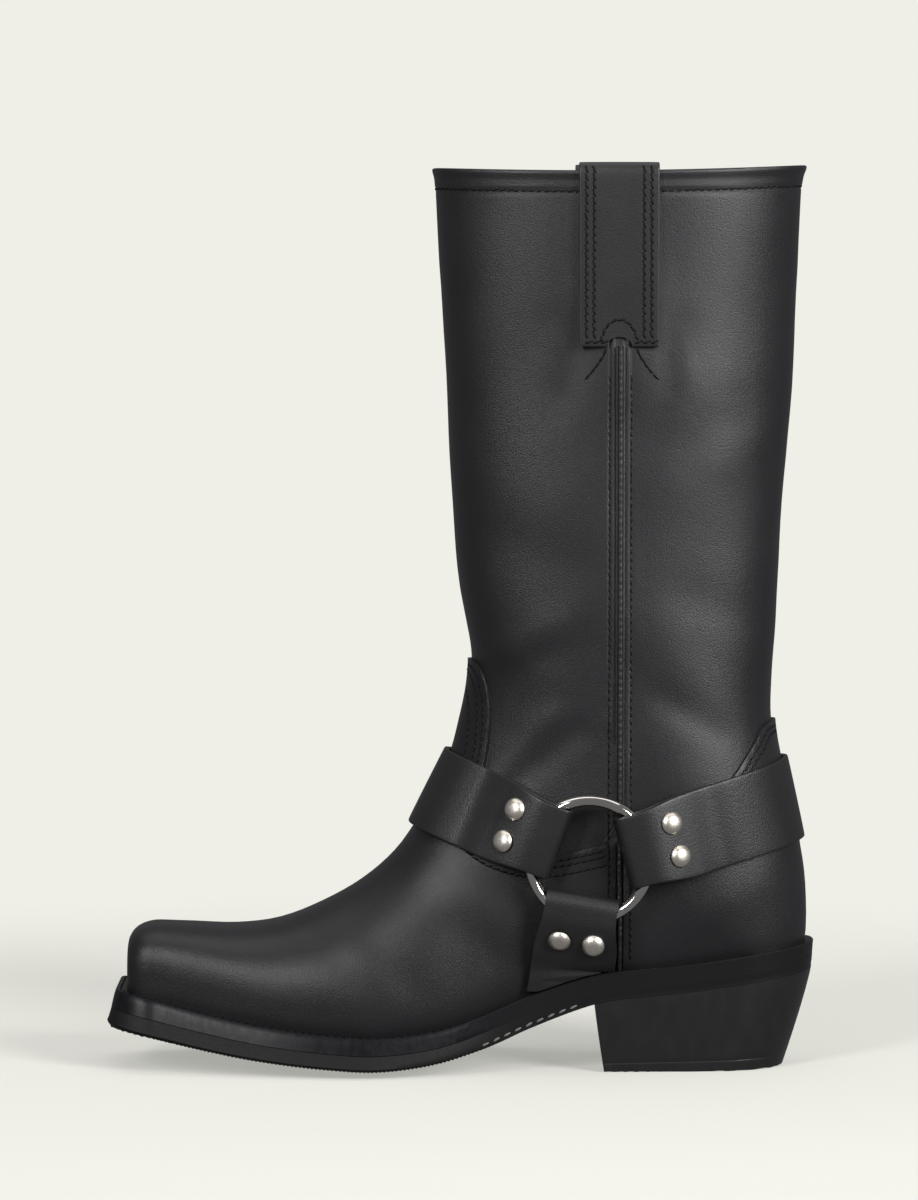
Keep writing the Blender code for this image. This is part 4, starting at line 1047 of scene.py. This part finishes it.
rivetProfile = [(0.0, 0.00238), (0.0010, 0.00236), (0.0019, 0.00222), (0.0027, 0.00196),
                (0.0034, 0.00156), (0.0040, 0.00105), (0.00438, 0.00058), (0.00455, 0.00022),
                (0.0045, -0.0001), (0.0040, -0.0003)]
for word, side in bothSides:
    for strap in ("front", "rear", "down"):
        for number in (1, 2):
            node = f"rivet_{strap}_{word}_{number}"
            centre, normal, points = nodeAxes(node)
            if normal.y * side < 0:
                normal = -normal
            foot = min((p - centre).dot(normal) for p in points)
            shape = bmesh.new()
            line = [shape.verts.new((x, 0, z)) for x, z in rivetProfile]
            edges = [shape.edges.new(pair) for pair in zip(line, line[1:])]
            bmesh.ops.spin(shape, geom=line + edges, cent=(0, 0, 0), axis=(0, 0, 1),
                           angle=2 * math.pi, steps=40, use_merge=True)
            bmesh.ops.remove_doubles(shape, verts=shape.verts[:], dist=0.00001)
            outwardFaces(shape)
            matrix = aimed(normal)
            matrix.translation = centre + normal * foot
            bmesh.ops.transform(shape, matrix=matrix, verts=shape.verts[:])
            rivet = newObject(node + "_cap", shape)
            smoothShade(rivet, 50)
            dress(rivet, rivetNickel, [node])


# Pull straps with their arched foot and rows of stitches
print("pull straps")
pullSize = {"archWide": 0.0052, "archHigh": 0.0040, "rowInset": (0.0030, 0.0060), "footRow": 0.0018,
            "footGap": 0.0058, "archRow": (0.0072, 0.0098), "tailDrop": 0.0128}
pullStitch = {"pitch": 0.0031, "long": 0.0027, "wide": 0.00115, "high": 0.00036, "slant": 0.30}
tailStitch = {"pitch": 0.0030, "long": 0.0029, "wide": 0.0009, "high": 0.00055, "slant": 0.0}


def straightRow(x0, z0, x1, z1, steps=60):
    return [(x0 + (x1 - x0) * k / steps, z0 + (z1 - z0) * k / steps) for k in range(steps + 1)]


for word, side in bothSides:
    node = "pull_strap_" + word
    pull = newObject(node + "_leather", roundedFromCad(node, strapSize["pullRounding"]))
    low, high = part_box(node)
    middle, half = 0.5 * (low.x + high.x), 0.5 * (high.x - low.x)
    shape = bmesh.new()
    bmesh.ops.create_cone(shape, cap_ends=True, segments=40, radius1=1.0, radius2=1.0, depth=0.03,
                          matrix=Matrix.Translation((middle, side * 0.040, low.z))
                          @ Matrix.Rotation(math.pi / 2, 4, "X")
                          @ Matrix.Diagonal((pullSize["archWide"], pullSize["archHigh"], 1, 1)))
    arch = newObject("arch", shape)
    finer = pull.modifiers.new("finer", "SUBSURF")
    finer.levels = finer.render_levels = 2
    cut = pull.modifiers.new("arch", "BOOLEAN")
    cut.operation, cut.object, cut.solver = "DIFFERENCE", arch, "EXACT"
    applied(pull)
    bpy.data.objects.remove(arch)
    smoothShade(pull, 45)
    dress(pull, strapLeather, [node])
    tree = treeOf(pull)
    rows = [straightRow(middle + x, low.z + 0.003, middle + x, high.z - 0.002)
            for s in (-1, 1) for x in (s * (half - inset) for inset in pullSize["rowInset"])]
    foot = low.z + pullSize["footRow"]
    rows.append(straightRow(middle - half + 0.002, foot, middle - pullSize["footGap"], foot))
    rows.append(straightRow(middle + pullSize["footGap"], foot, middle + half - 0.002, foot))
    rows.append([(middle + pullSize["archRow"][0] * math.cos(math.radians(a)),
                  low.z + 0.0010 + pullSize["archRow"][1] * math.sin(math.radians(a)))
                 for a in range(8, 173, 4)])
    paths = [[f for f in (hitFromSide(tree, x, z, side) for x, z in row) if f] for row in rows]
    sewnRows(node + "_stitches", paths, pullStitch, threadLook)
    tails = []
    for dx, ex in ((-0.0052, -0.0139), (0.0072, 0.0160)):
        tails.append(sidePath(leatherTree, [(middle - shift.x + dx + (ex - dx) * (t / 20) ** 1.4,
                                             low.z - 0.0006 - pullSize["tailDrop"] * t / 20)
                                            for t in range(21)], side))
    sewnRows(node + "_tails", tails, tailStitch, threadLook)


# Floor, light and camera: the backdrop shows to the camera alone
print("stage")
stageLook = {"backdrop": (0.863, 0.863, 0.799), "floor": (0.420, 0.420, 0.389),
             "fade": (0.26, 0.60), "glow": 0.455, "sky": 0.16}


def stagePiece(name, shape, material, everywhere):
    item = newObject(name, shape)
    item.data.materials.append(material)
    item.visible_glossy = item.visible_diffuse = everywhere
    return item


# Pale floor that fades into the backdrop away from the boot
def floorMaterial():
    material, tree, shader = nodesOf("floor_look")
    link = tree.links.new
    place = add(tree, "ShaderNodeTexCoord").outputs["Object"]
    away = add(tree, "ShaderNodeVectorMath", operation="LENGTH")
    link(place, away.inputs[0])
    fade = rangeOn(tree, away.outputs["Value"], *stageLook["fade"], interpolation_type="SMOOTHSTEP")
    soft = noiseOn(tree, place, 3.0, 1.0).outputs["Fac"]
    tone = toneOn(tree, soft, [0.995 * c for c in stageLook["floor"]], stageLook["floor"])
    link(tone, shader.inputs["Base Color"])
    shader.inputs["Roughness"].default_value = 0.9
    shader.inputs["Specular IOR Level"].default_value = 0.05
    shader.inputs["Emission Color"].default_value = (*stageLook["backdrop"], 1)
    shader.inputs["Emission Strength"].default_value = stageLook["glow"]
    clear = add(tree, "ShaderNodeBsdfTransparent")
    both = add(tree, "ShaderNodeMixShader")
    link(fade, both.inputs["Fac"])
    link(shader.outputs["BSDF"], both.inputs[1])
    link(clear.outputs["BSDF"], both.inputs[2])
    link(both.outputs["Shader"], tree.nodes["Material Output"].inputs["Surface"])
    return material


def glowMaterial():
    material, tree, shader = nodesOf("backdrop_look")
    shader.inputs["Base Color"].default_value = (0, 0, 0, 1)
    shader.inputs["Specular IOR Level"].default_value = 0.0
    shader.inputs["Emission Color"].default_value = (*stageLook["backdrop"], 1)
    shader.inputs["Emission Strength"].default_value = 1.0
    return material


shape = bmesh.new()
bmesh.ops.create_circle(shape, cap_ends=True, segments=96, radius=0.70)
stagePiece("floor", shape, floorMaterial(), False)
shape = bmesh.new()
bmesh.ops.create_grid(shape, x_segments=2, y_segments=2, size=4.0,
                      matrix=Matrix.Translation((0, 3.2, 0)) @ Matrix.Rotation(math.pi / 2, 4, "X"))
stagePiece("backdrop", shape, glowMaterial(), False)

world = bpy.data.worlds.new("studio")
world.use_nodes = True
sky = world.node_tree.nodes["Background"]
sky.inputs["Color"].default_value = (1.0, 1.0, 1.03, 1)
sky.inputs["Strength"].default_value = stageLook["sky"]
scene.world = world


# The glow is the brightness of the soft box's face
def softBox(name, place, aim, size, glow):
    light = bpy.data.lights.new(name, "AREA")
    light.shape, light.size, light.size_y = "RECTANGLE", size[0], size[1]
    light.energy = glow * math.pi * size[0] * size[1]
    item = bpy.data.objects.new(name, light)
    scene.collection.objects.link(item)
    item.location = place
    item.rotation_euler = (Vector(aim) - Vector(place)).to_track_quat("-Z", "Y").to_euler()


softBox("front_left", (-1.28, -2.00, 1.32), (0.02, 0.0, 0.22), (0.60, 1.05), 20.0)
softBox("front_right", (1.62, -1.72, 1.15), (0.05, 0.0, 0.22), (0.90, 1.15), 21.0)
softBox("overhead", (0.0, 0.1, 2.0), (0.0, 0.0, 0.0), (2.2, 1.8), 1.2)

view = {"lens": 163.8, "away": 2.2, "height": 0.33, "aim": 0.1877}
camera = bpy.data.cameras.new("camera")
camera.lens, camera.sensor_width = view["lens"], 36
eye = bpy.data.objects.new("camera", camera)
scene.collection.objects.link(eye)
eye.location = (shift.x, -view["away"], view["height"])
aim = Vector((shift.x, 0, view["aim"]))
eye.rotation_euler = (aim - eye.location).to_track_quat("-Z", "Y").to_euler()
scene.camera = eye
scene.view_settings.view_transform = "Standard"
